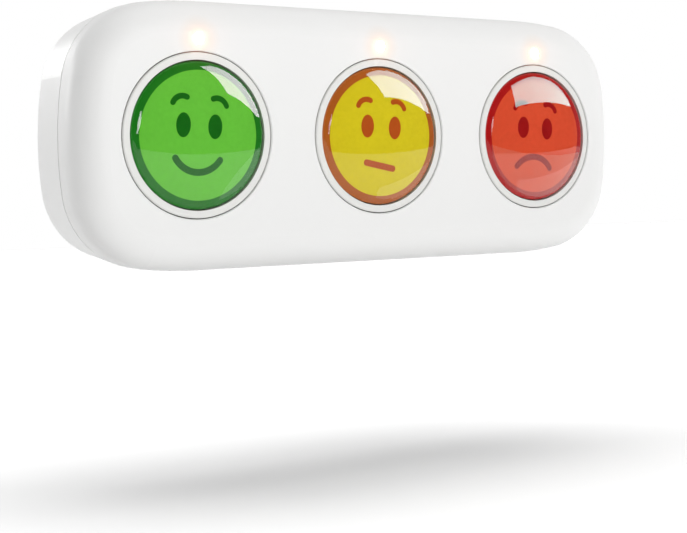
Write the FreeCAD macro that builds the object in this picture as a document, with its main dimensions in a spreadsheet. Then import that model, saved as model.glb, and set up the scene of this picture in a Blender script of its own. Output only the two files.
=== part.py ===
import FreeCAD
import Part
import Sketcher
import math
import os
import re

# A wall-hung terminal with three push buttons, in millimetres. Its own frame has +Z up, +X to the
# right of a person who faces it and +Y into the wall. The origin is the centre of the wall plate's
# back face. Inside each body, Y is the depth behind the flat front face of the case.

sizes = {
    # case
    "endFlat": "4.8",
    "frontDepth": "17.6",
    "caseWall": "2.5",
    "seamGap": "0.4",
    "endRadius": "150",
    "cornerRadius": "32",
    "frontEdgeRound": "12",
    "rearDraftAngle": "5",
    "rearEdgeRound": "3",
    "lipWall": "1.2",
    "lipGap": "0.2",
    "lipHeight": "2",
    "gasketWidth": "1",
    "grooveDepth": "1",
    "grooveGap": "0.05",
    "ribWidth": "1.2",
    "ribHeight": "6",
    "ribGap": "0.6",
    "ribRoot": "1.1",
    "cornerRib": "9",
    # case screws
    "cornerInsetX": "21.8",
    "cornerInsetZ": "13.7",
    "middleInsetZ": "11.7",
    "caseBossRadius": "4",
    "caseTubeRadius": "4.5",
    "caseScrewGrip": "12.4",
    "caseScrewRadius": "1.5",
    "caseScrewLength": "20",
    "screwHeadRatio": "1.85",
    "screwHeadHeight": "1.7",
    "screwGap": "0.2",
    "threadGap": "0.05",
    "headGap": "0.4",
    "pilotRest": "1",
    # buttons
    "buttonPitch": "80",
    "buttonTravel": "2.5",
    "ringWidth": "2.7",
    "ringGap": "0.4",
    "edgeBreak": "0.4",
    "ringFlangeWidth": "1.8",
    "ringFlangeThickness": "2.5",
    "domeDiameter": "54",
    "domeGap": "0.3",
    "domeRise": "4.5",
    "lensWall": "2",
    "lensEdge": "2.6",
    "lensSkirt": "3",
    "insertRecess": "1",
    "insertThickness": "0.6",
    "snapGap": "0.1",
    "plungerPlate": "2.4",
    "plungerStop": "1.5",
    "stopGap": "0.05",
    "plungerSkirt": "6",
    "plungerWall": "2",
    "keyWidth": "4",
    "keyReach": "1.6",
    "keyLength": "3",
    "keyGap": "0.3",
    "postRadius": "3.2",
    "postGap": "0.2",
    "guideGap": "0.3",
    "guideWall": "2.2",
    "guideFloor": "1.6",
    "switchRoom": "0.6",
    "springSeatWall": "1",
    "springSeatHeight": "1.2",
    "earReach": "5",
    "earRadius": "3.4",
    "earThickness": "2.4",
    "earPilotFloor": "0.4",
    "earBossRadius": "3",
    "smallScrewRadius": "1.1",
    "smallScrewLength": "8",
    "springGap": "0.8",
    "springWire": "1",
    "springTurns": "3.5",
    # switches
    "switchWidth": "14",
    "switchHeight": "8",
    "switchBore": "2.85",
    "stemRadius": "2.75",
    "stemProud": "3.6",
    "stemSunk": "2",
    # lamps
    "lampOffset": "5",
    "lampRest": "0.1",
    "pipeRadius": "2",
    "pipeGap": "0.05",
    "pipeProud": "0.3",
    "pipeCollarRadius": "2.6",
    "pipeCollarHeight": "1",
    "lampGap": "0.2",
    "lampWidth": "3",
    "lampDepth": "2",
    "lampThickness": "0.8",
    # circuit board
    "boardRoom": "4.8",
    "boardThickness": "1.6",
    "boardInsetX": "18.8",
    "boardInsetZ": "10.7",
    "boardCorner": "14",
    "boardScrewZ": "20",
    "boardBossRadius": "3",
    "boardNotchGap": "1",
    "moduleInset": "24",
    "radioSize": "24",
    "radioHeight": "2.8",
    "chipSize": "10",
    "chipHeight": "1.2",
    "chipZ": "4",
    "antennaLength": "35",
    "antennaWidth": "6",
    "antennaHeight": "3.2",
    "antennaInsetX": "6.5",
    "antennaInsetZ": "11",
    "simSize": "15",
    "simHeight": "1.5",
    "resistorLength": "1.6",
    "resistorWidth": "0.8",
    "resistorHeight": "0.5",
    "resistorPitch": "2.4",
    "resistorGap": "1.2",
    "capRadius": "3",
    "capHeight": "5",
    "capPitch": "8",
    # batteries
    "cellRadius": "7.25",
    "cellLength": "49.5",
    "nubRadius": "2.75",
    "nubLength": "1",
    "cellSpace": "0.3",
    "cellGap": "0.2",
    "trayWall": "1.5",
    "trayFloor": "1.1",
    "trayRoom": "1.8",
    "leafTravel": "4",
    "padDepth": "1",
    "contactSheet": "0.4",
    "contactWidth": "11",
    "leafWidth": "5",
    "leafChord": "9",
    "tailWidth": "1.6",
    "tailGap": "0.3",
    "doorThickness": "1.6",
    "doorRoom": "0.7",
    "doorCorner": "1.5",
    "doorMargin": "2",
    "doorEar": "8",
    "doorGap": "0.3",
    "doorBossRadius": "3",
    "doorBossHeight": "6",
    "doorHeadHeight": "1.2",
    # wall plate
    "plateMargin": "19.7",
    "plateThickness": "1.5",
    "plateCorner": "5",
    "plateGap": "2",
    "recessDepth": "3",
    "wallHoleX": "50",
    "wallHoleInset": "6",
    "wallHoleRadius": "2.25",
    "reliefRadius": "5.5",
    "reliefDepth": "1.3",
    "studGap": "9.5",
    "studInset": "8",
    "studZ": "14",
    "studRadius": "2.3",
    "studHeadRadius": "4.2",
    "studHeadHeight": "1.7",
    "studTailRadius": "1.5",
    "studPlay": "0.2",
    "keyholeGap": "0.4",
    "keyholeDrop": "8",
    "tabWidth": "16",
    "tabReach": "8",
    "tabGap": "1",
    "lockSetback": "5",
    "lockRadius": "1.5",
    "lockProud": "0.8",
    "lockSeat": "8",
}

# every other size and place, worked out from those
derived = {
    # outlines, seen from the front
    "domeRadius": "domeDiameter / 2",
    "boreRadius": "domeRadius + domeGap",
    "ringRadius": "boreRadius + ringWidth",
    "lampHeight": "ringRadius + lampOffset",
    "halfWidth": "buttonPitch + ringRadius + endFlat + frontEdgeRound",
    "halfHeight": "lampHeight + pipeCollarRadius + lampRest + frontEdgeRound",
    # the button's stack, from the face to the board
    "ringBack": "caseWall + ringFlangeThickness",
    "neckRadius": "domeRadius - lensWall - snapGap",
    "plungerTop": "insertRecess + insertThickness",
    "plateBack": "plungerTop + plungerPlate",
    "stopRadius": "domeRadius + plungerStop",
    "stopFront": "ringBack + stopGap",
    "skirtBack": "stopFront + plungerSkirt",
    "guideInner": "stopRadius + guideGap",
    "guideOuter": "guideInner + guideWall",
    "guideHole": "switchWidth * sqrt(0.5) + switchRoom",
    "floorFront": "skirtBack + buttonTravel + stopGap",
    "floorBack": "floorFront + guideFloor",
    "springRadius": "guideHole + springSeatWall + springGap + springWire / 2",
    "earCircle": "guideOuter + earReach",
    "earPilot": "smallScrewLength - earThickness + pilotRest",
    "earDepth": "caseWall + earPilotFloor + earPilot",
    "boardDepth": "floorBack + boardRoom",
    "boardBack": "boardDepth + boardThickness",
    "switchTop": "boardDepth - switchHeight",
    "stemTop": "switchTop - stemProud",
    # the battery's stack, from the board to the wall
    "trayDepth": "boardBack + trayRoom + trayFloor",
    "cellDepth": "trayDepth + cellGap + cellRadius",
    "cellBack": "cellDepth + cellRadius",
    "doorFront": "cellBack + doorRoom",
    "recessFloor": "doorFront + doorThickness",
    "caseDepth": "recessFloor + recessDepth",
    "plateFront": "caseDepth - plateThickness",
    "lockDepth": "plateFront - lockSetback",
    # the case and what lies in it
    "rimDepth": "frontDepth + seamGap",
    "caseScrewSeat": "frontDepth + caseScrewGrip",
    "cellPitch": "2 * cellRadius + cellSpace",
    "trayLength": "2 * (cellLength + nubLength) + leafTravel + padDepth",
    "trayHeight": "cellPitch + 2 * cellRadius + 2 * cellGap",
    "doorReach": "trayLength / 2 + trayWall + doorEar",
    "boardWidth": "2 * (halfWidth - boardInsetX)",
    "boardHeight": "2 * (halfHeight - boardInsetZ)",
    "moduleX": "boardWidth / 2 - moduleInset",
    "studX": "doorReach + studGap",
    "plateWidth": "2 * (studX + studInset)",
    "plateHeight": "2 * (halfHeight - plateMargin)",
}

colours = ("green", "yellow", "red")
places = {"green": "-buttonPitch", "yellow": "0", "red": "buttonPitch"}

doc = FreeCAD.newDocument("feedbackTerminal")
sheet = doc.addObject("Spreadsheet::Sheet", "Sizes")
for row, (alias, text) in enumerate(sizes.items(), start=1):
    sheet.set(f"A{row}", alias)
    sheet.set(f"B{row}", text)
    sheet.setAlias(f"B{row}", alias)
doc.recompute()

nodes = []


# ---- sizes and bindings ----

def spelled(expression, prefix=""):
    """An expression with each worked-out name replaced by the sheet's own names."""
    def spell(word):
        name = word.group()
        if name in derived:
            return f"({spelled(derived[name], prefix)})"
        return prefix + name if name in sizes else name
    return re.sub(r"[a-z]\w*", spell, expression)


def number(expression):
    """The value of an expression."""
    found = sheet.evalExpression(spelled(expression))
    return float(getattr(found, "Value", found))


def bind(thing, name, expression):
    """Ties a property to the sheet."""
    thing.setExpression(name, spelled(expression, "Sizes."))


def place(thing, x="0", z="0"):
    """Puts a body's own origin on the front face of the case."""
    bind(thing, "Placement.Base.x", x)
    bind(thing, "Placement.Base.y", "-caseDepth")
    bind(thing, "Placement.Base.z", z)


def newBody(label, x="0", z="0"):
    """A body that becomes one sub-part."""
    body = doc.addObject("PartDesign::Body", label)
    body.Label = label
    place(body, x, z)
    nodes.append(body)
    return body


# ---- sketches ----

def newSketch(body, plane, offset):
    """An empty sketch on one of the body's own origin planes."""
    sketch = body.newObject("Sketcher::SketchObject", "Sketch")
    origin = next(part for part in body.Origin.OriginFeatures if part.Role == plane)
    sketch.AttachmentSupport = [(origin, "")]
    sketch.MapMode = "FlatFace"
    bind(sketch, "AttachmentOffset.Base.z", offset)
    return sketch


def fix(sketch, kind, refs, expression):
    """A dimension whose value comes from the sheet."""
    index = sketch.addConstraint(Sketcher.Constraint(kind, *refs, number(expression)))
    bind(sketch, f"Constraints[{index}]", expression)


def fixPoint(sketch, geometry, end, x, y):
    """Holds one point of a sketch at x, y."""
    for kind, expression, axis in (("DistanceX", x, -2), ("DistanceY", y, -1)):
        if expression == "0":
            sketch.addConstraint(Sketcher.Constraint("PointOnObject", geometry, end, axis))
        else:
            fix(sketch, kind, (-1, 1, geometry, end), expression)


def circle(sketch, x, y, radius):
    """A circle with a bound centre and radius."""
    centre = FreeCAD.Vector(number(x), number(y), 0)
    shape = Part.Circle(centre, FreeCAD.Vector(0, 0, 1), number(radius))
    index = sketch.addGeometry(shape)
    fixPoint(sketch, index, 3, x, y)
    fix(sketch, "Radius", (index,), radius)


def arcBetween(start, end, radius, side):
    """An arc from start to end, turning left for side 1 and right for side -1."""
    chord = end - start
    middle = (start + end) * 0.5
    left = FreeCAD.Vector(-chord.y, chord.x, 0).normalize()
    height = math.sqrt(max(radius ** 2 - (chord.Length / 2) ** 2, 0))
    centre = middle + left * height * side
    first, last = (start, end) if side > 0 else (end, start)
    angles = [math.atan2(point.y - centre.y, point.x - centre.x) for point in (first, last)]
    return Part.ArcOfCircle(Part.Circle(centre, FreeCAD.Vector(0, 0, 1), radius), *angles)


def loop(sketch, corners):
    """A closed outline through corners (x, y), or (x, y, radius, side) where an arc starts."""
    points = [FreeCAD.Vector(number(corner[0]), number(corner[1]), 0) for corner in corners]
    ends = []
    for count, corner in enumerate(corners):
        start = points[count]
        end = points[(count + 1) % len(points)]
        if len(corner) == 4:
            index = sketch.addGeometry(arcBetween(start, end, number(corner[2]), corner[3]))
            fix(sketch, "Radius", (index,), corner[2])
            ends.append((index, 1, 2) if corner[3] > 0 else (index, 2, 1))
        else:
            index = sketch.addGeometry(Part.LineSegment(start, end))
            ends.append((index, 1, 2))
    for count, corner in enumerate(corners):
        index, first, _ = ends[count]
        before, _, last = ends[count - 1]
        sketch.addConstraint(Sketcher.Constraint("Coincident", before, last, index, first))
        fixPoint(sketch, index, first, corner[0], corner[1])


def rectangle(sketch, left, bottom, right, top):
    """A rectangle between two bound corners."""
    loop(sketch, [(left, bottom), (right, bottom), (right, top), (left, top)])


def roundedRectangle(sketch, width, height, radius):
    """A centred rectangle with round corners."""
    far, near = f"({width}) / 2", f"({width}) / 2 - ({radius})"
    top, low = f"({height}) / 2", f"({height}) / 2 - ({radius})"
    loop(sketch, [
        (f"-({near})", f"-({top})"), (near, f"-({top})", radius, 1),
        (far, f"-({low})"), (far, low, radius, 1),
        (near, top), (f"-({near})", top, radius, 1),
        (f"-({far})", low), (f"-({far})", f"-({low})", radius, 1),
    ])


def caseOutline(sketch, inset):
    """The outline of the case, moved inward: flat top, gently bowed ends and soft corners.

    Each corner runs through three tangent arcs: a wide one that leaves the top, the tight corner
    arc, and the wide one that makes the end. The corner's centre lies on the square's diagonal.
    """
    wide, tight = f"(endRadius - {inset})", f"(cornerRadius - {inset})"
    square = "(halfWidth - halfHeight)"
    slack = "(endRadius - halfHeight)"
    reach = f"((sqrt(2 * (endRadius - cornerRadius)^2 - {slack}^2) - {slack}) / 2)"
    w, t, s, k, r = (number(text) for text in (wide, tight, square, slack, reach))
    turn = math.atan2(r, r + k)
    up = FreeCAD.Vector(0, 0, 1)
    order = []
    for sign, start in ((1, 0), (-1, math.pi)):
        ends = (Part.Circle(FreeCAD.Vector(sign * (s - k), 0, 0), up, w), start - turn, start + turn)
        high = (Part.Circle(FreeCAD.Vector(sign * (s + r), sign * r, 0), up, t),
                start + turn, start + math.pi / 2 - turn)
        top = (Part.Circle(FreeCAD.Vector(sign * s, -sign * k, 0), up, w),
               start + math.pi / 2 - turn, start + math.pi / 2)
        order += [ends, high, top, None]
        foot = (Part.Circle(FreeCAD.Vector(-sign * s, -sign * k, 0), up, w),
                start + math.pi / 2, start + math.pi / 2 + turn)
        side = (Part.Circle(FreeCAD.Vector(-sign * (s + r), sign * r, 0), up, t),
                start + math.pi / 2 + turn, start + math.pi - turn)
        order += [foot, side]
    tall = number(f"halfHeight - {inset}")
    indices = []
    for count, arc in enumerate(order):
        if arc is None:
            sign = 1 if count < 6 else -1
            line = Part.LineSegment(FreeCAD.Vector(sign * s, sign * tall, 0),
                                    FreeCAD.Vector(-sign * s, sign * tall, 0))
            indices.append(sketch.addGeometry(line))
        else:
            indices.append(sketch.addGeometry(Part.ArcOfCircle(*arc)))
    for count, index in enumerate(indices):
        following = indices[(count + 1) % len(indices)]
        sketch.addConstraint(Sketcher.Constraint("Tangent", index, 2, following, 1))
    centreX, centreY = f"({square} - {slack})", slack
    for sign, (ends, high, top, _, foot, side) in ((1, indices[:6]), (-1, indices[6:])):
        plus, minus = ("", "-") if sign > 0 else ("-", "")
        fixPoint(sketch, ends, 3, f"{plus}{centreX}", "0")
        fixPoint(sketch, top, 3, f"{plus}{square}", f"{minus}{centreY}")
        fixPoint(sketch, foot, 3, f"{minus}{square}", f"{minus}{centreY}")
        for index, radius in ((ends, wide), (high, tight), (top, wide), (foot, wide), (side, tight)):
            fix(sketch, "Radius", (index,), radius)


# ---- features ----

def pad(body, start, length, draw, plane="XZ_Plane", draft=None):
    """Material from one depth to a deeper one. On the XY plane it goes up from a height."""
    facing = plane == "XZ_Plane"
    sketch = newSketch(body, plane, f"-({start})" if facing else start)
    draw(sketch)
    feature = body.newObject("PartDesign::Pad", "Pad")
    feature.Profile = sketch
    feature.Reversed = facing
    bind(feature, "Length", length)
    if draft:
        bind(feature, "TaperAngle", draft)
    return feature


def cut(body, start, length, draw, plane="XZ_Plane", draft=None):
    """Takes material away from one depth to a deeper one. On the XY plane it goes up."""
    facing = plane == "XZ_Plane"
    sketch = newSketch(body, plane, f"-({start})" if facing else start)
    draw(sketch)
    feature = body.newObject("PartDesign::Pocket", "Pocket")
    feature.Profile = sketch
    feature.Reversed = not facing
    bind(feature, "Length", length)
    if draft:
        bind(feature, "TaperAngle", draft)
    return feature


def turned(body, corners):
    """A round piece about the Y axis, from its half profile (radius, depth)."""
    sketch = newSketch(body, "XY_Plane", "0")
    loop(sketch, corners)
    feature = body.newObject("PartDesign::Revolution", "Revolution")
    feature.Profile = sketch
    feature.ReferenceAxis = (sketch, ["V_Axis"])
    feature.Angle = 360
    return feature


def dressEdges(body, kind, size, chosen):
    """Rounds or chamfers every edge for which chosen(edge) holds."""
    doc.recompute()
    tip = body.Tip
    names = [f"Edge{count}" for count, edge in enumerate(tip.Shape.Edges, start=1) if chosen(edge)]
    feature = body.newObject(f"PartDesign::{kind}", kind)
    feature.Base = (tip, names)
    bind(feature, "Radius" if kind == "Fillet" else "Size", size)
    return feature


def inPlane(depth):
    """Chooses the edges that lie at one depth."""
    level = number(depth)
    return lambda edge: abs(edge.BoundBox.YMin - level) < 0.01 and abs(edge.BoundBox.YMax - level) < 0.01


def isRound(edge):
    """True for a full circle."""
    return isinstance(edge.Curve, Part.Circle) and edge.isClosed()


def circlesAt(points, radius):
    """Draws one circle at each of several places."""
    def draw(sketch):
        for x, z in points:
            circle(sketch, x, z, radius)
    return draw


# ---- places that several pieces share ----

def mirrored(x, z):
    """The four places that mirror one another about both axes."""
    return [(x, z), (f"-{x}", z), (f"-{x}", f"-{z}"), (x, f"-{z}")]


caseScrews = (mirrored("(halfWidth - cornerInsetX)", "(halfHeight - cornerInsetZ)")
              + mirrored("(buttonPitch / 2)", "(halfHeight - middleInsetZ)"))
boardScrews = mirrored("(buttonPitch / 2)", "boardScrewZ")
doorScrews = [("(doorReach - doorEar / 2)", "0"), ("-(doorReach - doorEar / 2)", "0")]
wallHoles = mirrored("wallHoleX", "(plateHeight / 2 - wallHoleInset)")
studs = [("studX", "studZ"), ("-studX", "studZ")]
earScrews = mirrored("(earCircle * sqrt(0.5))", "(earCircle * sqrt(0.5))")
allEarScrews = [(f"{places[colour]} + {x}", z) for colour in colours for x, z in earScrews]
lamps = [(places[colour], "lampHeight") for colour in colours]


# ---- case ----

def bossRibs(sketch):
    """The short ribs that tie the case's screw bosses to its walls."""
    middle, corner = "(halfHeight - middleInsetZ)", "(halfHeight - cornerInsetZ)"
    for x, low, high in (("(buttonPitch / 2)", middle, "(halfHeight - caseWall / 2)"),
                         ("(halfWidth - cornerInsetX)", corner, f"({corner} + cornerRib)")):
        for left in (f"{x}", f"-{x}"):
            for bottom, top in ((low, high), (f"-{high}", f"-{low}")):
                rectangle(sketch, f"{left} - ribWidth / 2", bottom, f"{left} + ribWidth / 2", top)


def uprights(sketch, x, reach):
    """Two upright ribs, one each side of the middle."""
    for centre in (x, f"-{x}"):
        rectangle(sketch, f"{centre} - ribWidth / 2", f"-{reach}", f"{centre} + ribWidth / 2", reach)


def rearRibs(sketch):
    """The ribs behind the tray: between the corner tubes and out to the walls."""
    uprights(sketch, "(halfWidth - cornerInsetX)", "(halfHeight - cornerInsetZ)")
    near, far = "(plateWidth / 2 + plateGap + caseWall / 2)", "(halfWidth - caseWall - ribRoot)"
    for left, right in ((near, "(halfWidth - cornerInsetX - ribWidth / 2)"),
                        ("(halfWidth - cornerInsetX + ribWidth / 2)", far)):
        rectangle(sketch, left, "-ribWidth / 2", right, "ribWidth / 2")
        rectangle(sketch, f"-{right}", "-ribWidth / 2", f"-{left}", "ribWidth / 2")
    for x in ("(buttonPitch / 2)", "-(buttonPitch / 2)"):
        low, high = "(halfHeight - middleInsetZ)", "(halfHeight - caseWall - ribRoot)"
        rectangle(sketch, f"{x} - ribWidth / 2", low, f"{x} + ribWidth / 2", high)
        rectangle(sketch, f"{x} - ribWidth / 2", f"-{high}", f"{x} + ribWidth / 2", f"-{low}")


def frontCover():
    """The front shell with its screw bosses and the holes for the rings and lamps."""
    body = newBody("front_cover")
    pad(body, "0", "frontDepth", lambda sketch: caseOutline(sketch, "0"))
    dressEdges(body, "Fillet", "frontEdgeRound", inPlane("0"))
    core = doc.addObject("PartDesign::Body", "front_core")
    pad(core, "caseWall", "frontDepth - caseWall + 1", lambda sketch: caseOutline(sketch, "caseWall"))
    dressEdges(core, "Fillet", "frontEdgeRound - caseWall", inPlane("caseWall"))
    hollow = body.newObject("PartDesign::Boolean", "Boolean")
    hollow.Type = "Cut"
    hollow.Group = [core]
    pad(body, "caseWall", "frontDepth - caseWall", circlesAt(caseScrews, "caseBossRadius"))
    pad(body, "caseWall", "boardDepth - caseWall", circlesAt(boardScrews, "boardBossRadius"))
    pad(body, "caseWall", "earDepth - caseWall", circlesAt(allEarScrews, "earBossRadius"))
    ribTop = "frontEdgeRound - caseWall"
    pad(body, ribTop, f"frontDepth - lipHeight - ribGap - ({ribTop})", bossRibs)
    pad(body, "caseWall / 2", "caseWall / 2 + ribHeight", lambda sketch: uprights(
        sketch, "(buttonPitch / 2)", "(halfHeight - middleInsetZ)"))
    holes = [(places[colour], "0") for colour in colours]
    cut(body, "0", "caseWall", circlesAt(holes, "ringRadius + ringGap"))
    dressEdges(body, "Chamfer", "edgeBreak", lambda edge: inPlane("0")(edge) and isRound(edge))
    cut(body, "0", "caseWall", circlesAt(lamps, "pipeRadius + pipeGap"))
    pilot = "caseScrewLength - caseScrewGrip + pilotRest"
    cut(body, f"frontDepth - ({pilot})", pilot, circlesAt(caseScrews, "caseScrewRadius + threadGap"))
    pilot = "smallScrewLength - boardThickness + pilotRest"
    cut(body, f"boardDepth - ({pilot})", pilot, circlesAt(boardScrews, "smallScrewRadius + threadGap"))
    cut(body, "earDepth - earPilot", "earPilot", circlesAt(allEarScrews, "smallScrewRadius + threadGap"))


def keyhole(sketch, x):
    """A round entry below a narrow slot that a stud slides up into."""
    entry, slot = "(studHeadRadius + keyholeGap)", "(studRadius + studPlay)"
    low = "(studZ - keyholeDrop)"
    meet = f"({low} + sqrt({entry}^2 - {slot}^2))"
    loop(sketch, [
        (f"{x} + {slot}", meet), (f"{x} + {slot}", "studZ", slot, 1),
        (x, f"studZ + {slot}", slot, 1), (f"{x} - {slot}", "studZ"),
        (f"{x} - {slot}", meet, entry, 1),
        (f"{x}", f"{low} - {entry}", entry, 1),
    ])


def rearCover():
    """The rear shell with screw tubes, battery tray, keyholes and the pocket for the lock tab."""
    body = newBody("rear_cover")
    rearDepth = "caseDepth - rimDepth"
    pad(body, "rimDepth", rearDepth, lambda sketch: caseOutline(sketch, "0"), draft="-rearDraftAngle")
    dressEdges(body, "Fillet", "rearEdgeRound", inPlane("caseDepth"))
    cut(body, "rimDepth", f"{rearDepth} - caseWall", lambda sketch: caseOutline(sketch, "caseWall"),
        draft="-rearDraftAngle")

    def lip(sketch):
        caseOutline(sketch, "(caseWall + lipGap)")
        caseOutline(sketch, "(caseWall + lipGap + lipWall)")

    def lipRoot(sketch):
        caseOutline(sketch, "(caseWall - lipGap)")
        caseOutline(sketch, "(caseWall + lipGap + lipWall)")

    pad(body, "rimDepth", "lipHeight", lipRoot)
    pad(body, "frontDepth - lipHeight", "lipHeight + seamGap + lipGap", lip)
    pad(body, "recessFloor - caseWall", "recessDepth + caseWall / 2", lambda sketch: roundedRectangle(
        sketch, "plateWidth + 2 * (plateGap + caseWall)", "plateHeight + 2 * (plateGap + caseWall)",
        "plateCorner + plateGap + caseWall"))
    pad(body, "frontDepth", "caseDepth - frontDepth - caseWall / 2", circlesAt(caseScrews, "caseTubeRadius"))
    pad(body, "trayDepth - trayFloor", "recessFloor - caseWall / 2 - trayDepth + trayFloor",
        lambda sketch: rectangle(
            sketch, "-trayLength / 2 - trayWall", "-trayHeight / 2 - trayWall",
            "trayLength / 2 + trayWall", "trayHeight / 2 + trayWall"))
    pad(body, "recessFloor - caseWall - doorBossHeight", "doorBossHeight + caseWall / 2",
        circlesAt(doorScrews, "doorBossRadius"))
    pad(body, "caseDepth - caseWall - ribHeight", "ribHeight + caseWall / 2", rearRibs)
    lockChamber(body)
    cut(body, "recessFloor", "recessDepth", lambda sketch: roundedRectangle(
        sketch, "plateWidth + 2 * plateGap", "plateHeight + 2 * plateGap", "plateCorner + plateGap"))
    cut(body, "trayDepth", "recessFloor - trayDepth", lambda sketch: rectangle(
        sketch, "-trayLength / 2", "-trayHeight / 2", "trayLength / 2", "trayHeight / 2"))
    cut(body, "doorFront", "doorThickness", lambda sketch: doorOutline(sketch, "doorGap"))
    cut(body, "doorFront - doorBossHeight", "doorBossHeight",
        circlesAt(doorScrews, "smallScrewRadius + threadGap"))
    cut(body, "recessFloor - caseWall", "caseWall", lambda sketch: keyhole(sketch, "studX"))
    cut(body, "recessFloor - caseWall", "caseWall", lambda sketch: keyhole(sketch, "-studX"))
    cut(body, "recessFloor - reliefDepth", "reliefDepth", circlesAt(wallHoles, "reliefRadius"))
    cut(body, "caseScrewSeat", "caseDepth - caseScrewSeat",
        circlesAt(caseScrews, "caseScrewRadius * screwHeadRatio + headGap"))
    cut(body, "frontDepth", "caseScrewGrip", circlesAt(caseScrews, "caseScrewRadius + screwGap"))

    def groove(sketch):
        caseOutline(sketch, "((caseWall - gasketWidth) / 2 - grooveGap)")
        caseOutline(sketch, "((caseWall + gasketWidth) / 2 + grooveGap)")

    cut(body, "rimDepth", "grooveDepth", groove)
    tails = [(x, z) for x, z, _ in contactEnds()]
    cut(body, "trayDepth - trayFloor", "trayFloor", lambda sketch: tailSlots(sketch, tails))


def lockChamber(body):
    """The pocket that the wall plate's tab reaches into, with the lock screw's hole below it."""
    tabZ = "-(plateHeight / 2)"
    reach = "(plateThickness + tabReach + tabGap)"
    pad(body, f"caseDepth - {reach} - trayWall", f"{reach} + trayWall - caseWall / 2",
        lambda sketch: rectangle(
            sketch, "-(tabWidth / 2 + tabGap + trayWall)", "-(halfHeight - caseWall - 0.5)",
            "tabWidth / 2 + tabGap + trayWall", f"{tabZ} + plateThickness + tabGap + trayWall"))
    cut(body, f"caseDepth - {reach}", reach, lambda sketch: rectangle(
        sketch, "-(tabWidth / 2 + tabGap)", f"{tabZ} - tabGap",
        "tabWidth / 2 + tabGap", f"{tabZ} + plateThickness + tabGap"))
    cut(body, "-(halfHeight + 1)", f"halfHeight + {tabZ} + 1",
        circlesAt([("0", "lockDepth")], "lockRadius + screwGap"), plane="XY_Plane")
    cut(body, "-(halfHeight + 1)", "lockSeat + 1",
        circlesAt([("0", "lockDepth")], "lockRadius * screwHeadRatio + headGap"), plane="XY_Plane")


def caseGasket():
    """The cord that seals the seam, pressed between the groove's floor and the front rim."""
    body = newBody("housing_gasket")

    def band(sketch):
        caseOutline(sketch, "((caseWall - gasketWidth) / 2)")
        caseOutline(sketch, "((caseWall + gasketWidth) / 2)")

    pad(body, "frontDepth", "seamGap + grooveDepth", band)


def screwSet(label, points, seat, radius, length, headHeight="screwHeadHeight"):
    """One group of equal screws, heads behind and shanks pointing to the front."""
    screws = []
    for x, z in points:
        parts = []
        for start, size, long in ((f"{seat} - {length}", radius, f"{length} + 0.2"),
                                  (seat, f"{radius} * screwHeadRatio", headHeight)):
            piece = doc.addObject("Part::Cylinder", "Cylinder")
            piece.Placement.Rotation = FreeCAD.Rotation(FreeCAD.Vector(1, 0, 0), -90)
            bind(piece, "Radius", size)
            bind(piece, "Height", long)
            place(piece, x, z)
            bind(piece, "Placement.Base.y", f"{start} - caseDepth")
            parts.append(piece)
        screw = doc.addObject("Part::MultiFuse", "Screw")
        screw.Shapes = parts
        screws.append(screw)
    group = doc.addObject("Part::Compound", label)
    group.Label = label
    group.Links = screws
    nodes.append(group)


# ---- buttons ----

def bezelRing(colour):
    """The ring that frames one button; its flange bears on the inside of the cover."""
    body = newBody(f"bezel_ring_{colour}", places[colour])
    turned(body, [
        ("boreRadius", "0"), ("ringRadius - edgeBreak", "0"), ("ringRadius", "edgeBreak"),
        ("ringRadius", "caseWall"), ("ringRadius + ringFlangeWidth", "caseWall"),
        ("ringRadius + ringFlangeWidth", "ringBack"),
        ("boreRadius", "ringBack"),
    ])


def domeLens(colour):
    """The clear domed cap that the finger presses, solid down to the printed disc."""
    body = newBody(f"dome_lens_{colour}", places[colour])
    inner = "(domeRadius - lensWall)"
    crown = "((domeRadius^2 + domeRise^2) / (2 * domeRise))"
    turned(body, [
        ("0", "-domeRise", crown, 1), ("domeRadius", "0"), ("domeRadius", "lensSkirt"), (inner, "lensSkirt"),
        (inner, "insertRecess"), ("0", "insertRecess"),
    ])
    dressEdges(body, "Fillet", "lensEdge", lambda edge: inPlane("0")(edge) and isRound(edge))


def faceInsert(colour):
    """The printed disc behind the dome."""
    body = newBody(f"face_insert_{colour}", places[colour])
    pad(body, "insertRecess", "insertThickness", circlesAt([("0", "0")], "neckRadius"))


def keyPair(sketch, grown, reach):
    """The two keys, above and below, that keep a face upright, or the slots that they run in."""
    half, inner = f"(keyWidth / 2 + {grown})", f"(stopRadius - plungerWall / 2 + {grown})"
    rectangle(sketch, f"-{half}", inner, half, reach)
    rectangle(sketch, f"-{half}", f"-({reach})", half, f"-{inner}")


def plunger(colour):
    """The moving cup that carries dome and insert; its flange stops behind the ring."""
    body = newBody(f"plunger_{colour}", places[colour])
    hollow = "(domeRadius - plungerWall)"
    turned(body, [
        ("0", "plungerTop"), ("neckRadius", "plungerTop"), ("neckRadius", "lensSkirt"), ("domeRadius", "lensSkirt"),
        ("domeRadius", "stopFront"), ("stopRadius", "stopFront"), ("stopRadius", "skirtBack"),
        (hollow, "skirtBack"), (hollow, "plateBack"), ("postRadius", "plateBack"),
        ("postRadius", "stemTop - postGap"), ("0", "stemTop - postGap"),
    ])
    pad(body, "stopFront", "keyLength", lambda sketch: keyPair(sketch, "0", "stopRadius + keyReach"))


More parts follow.
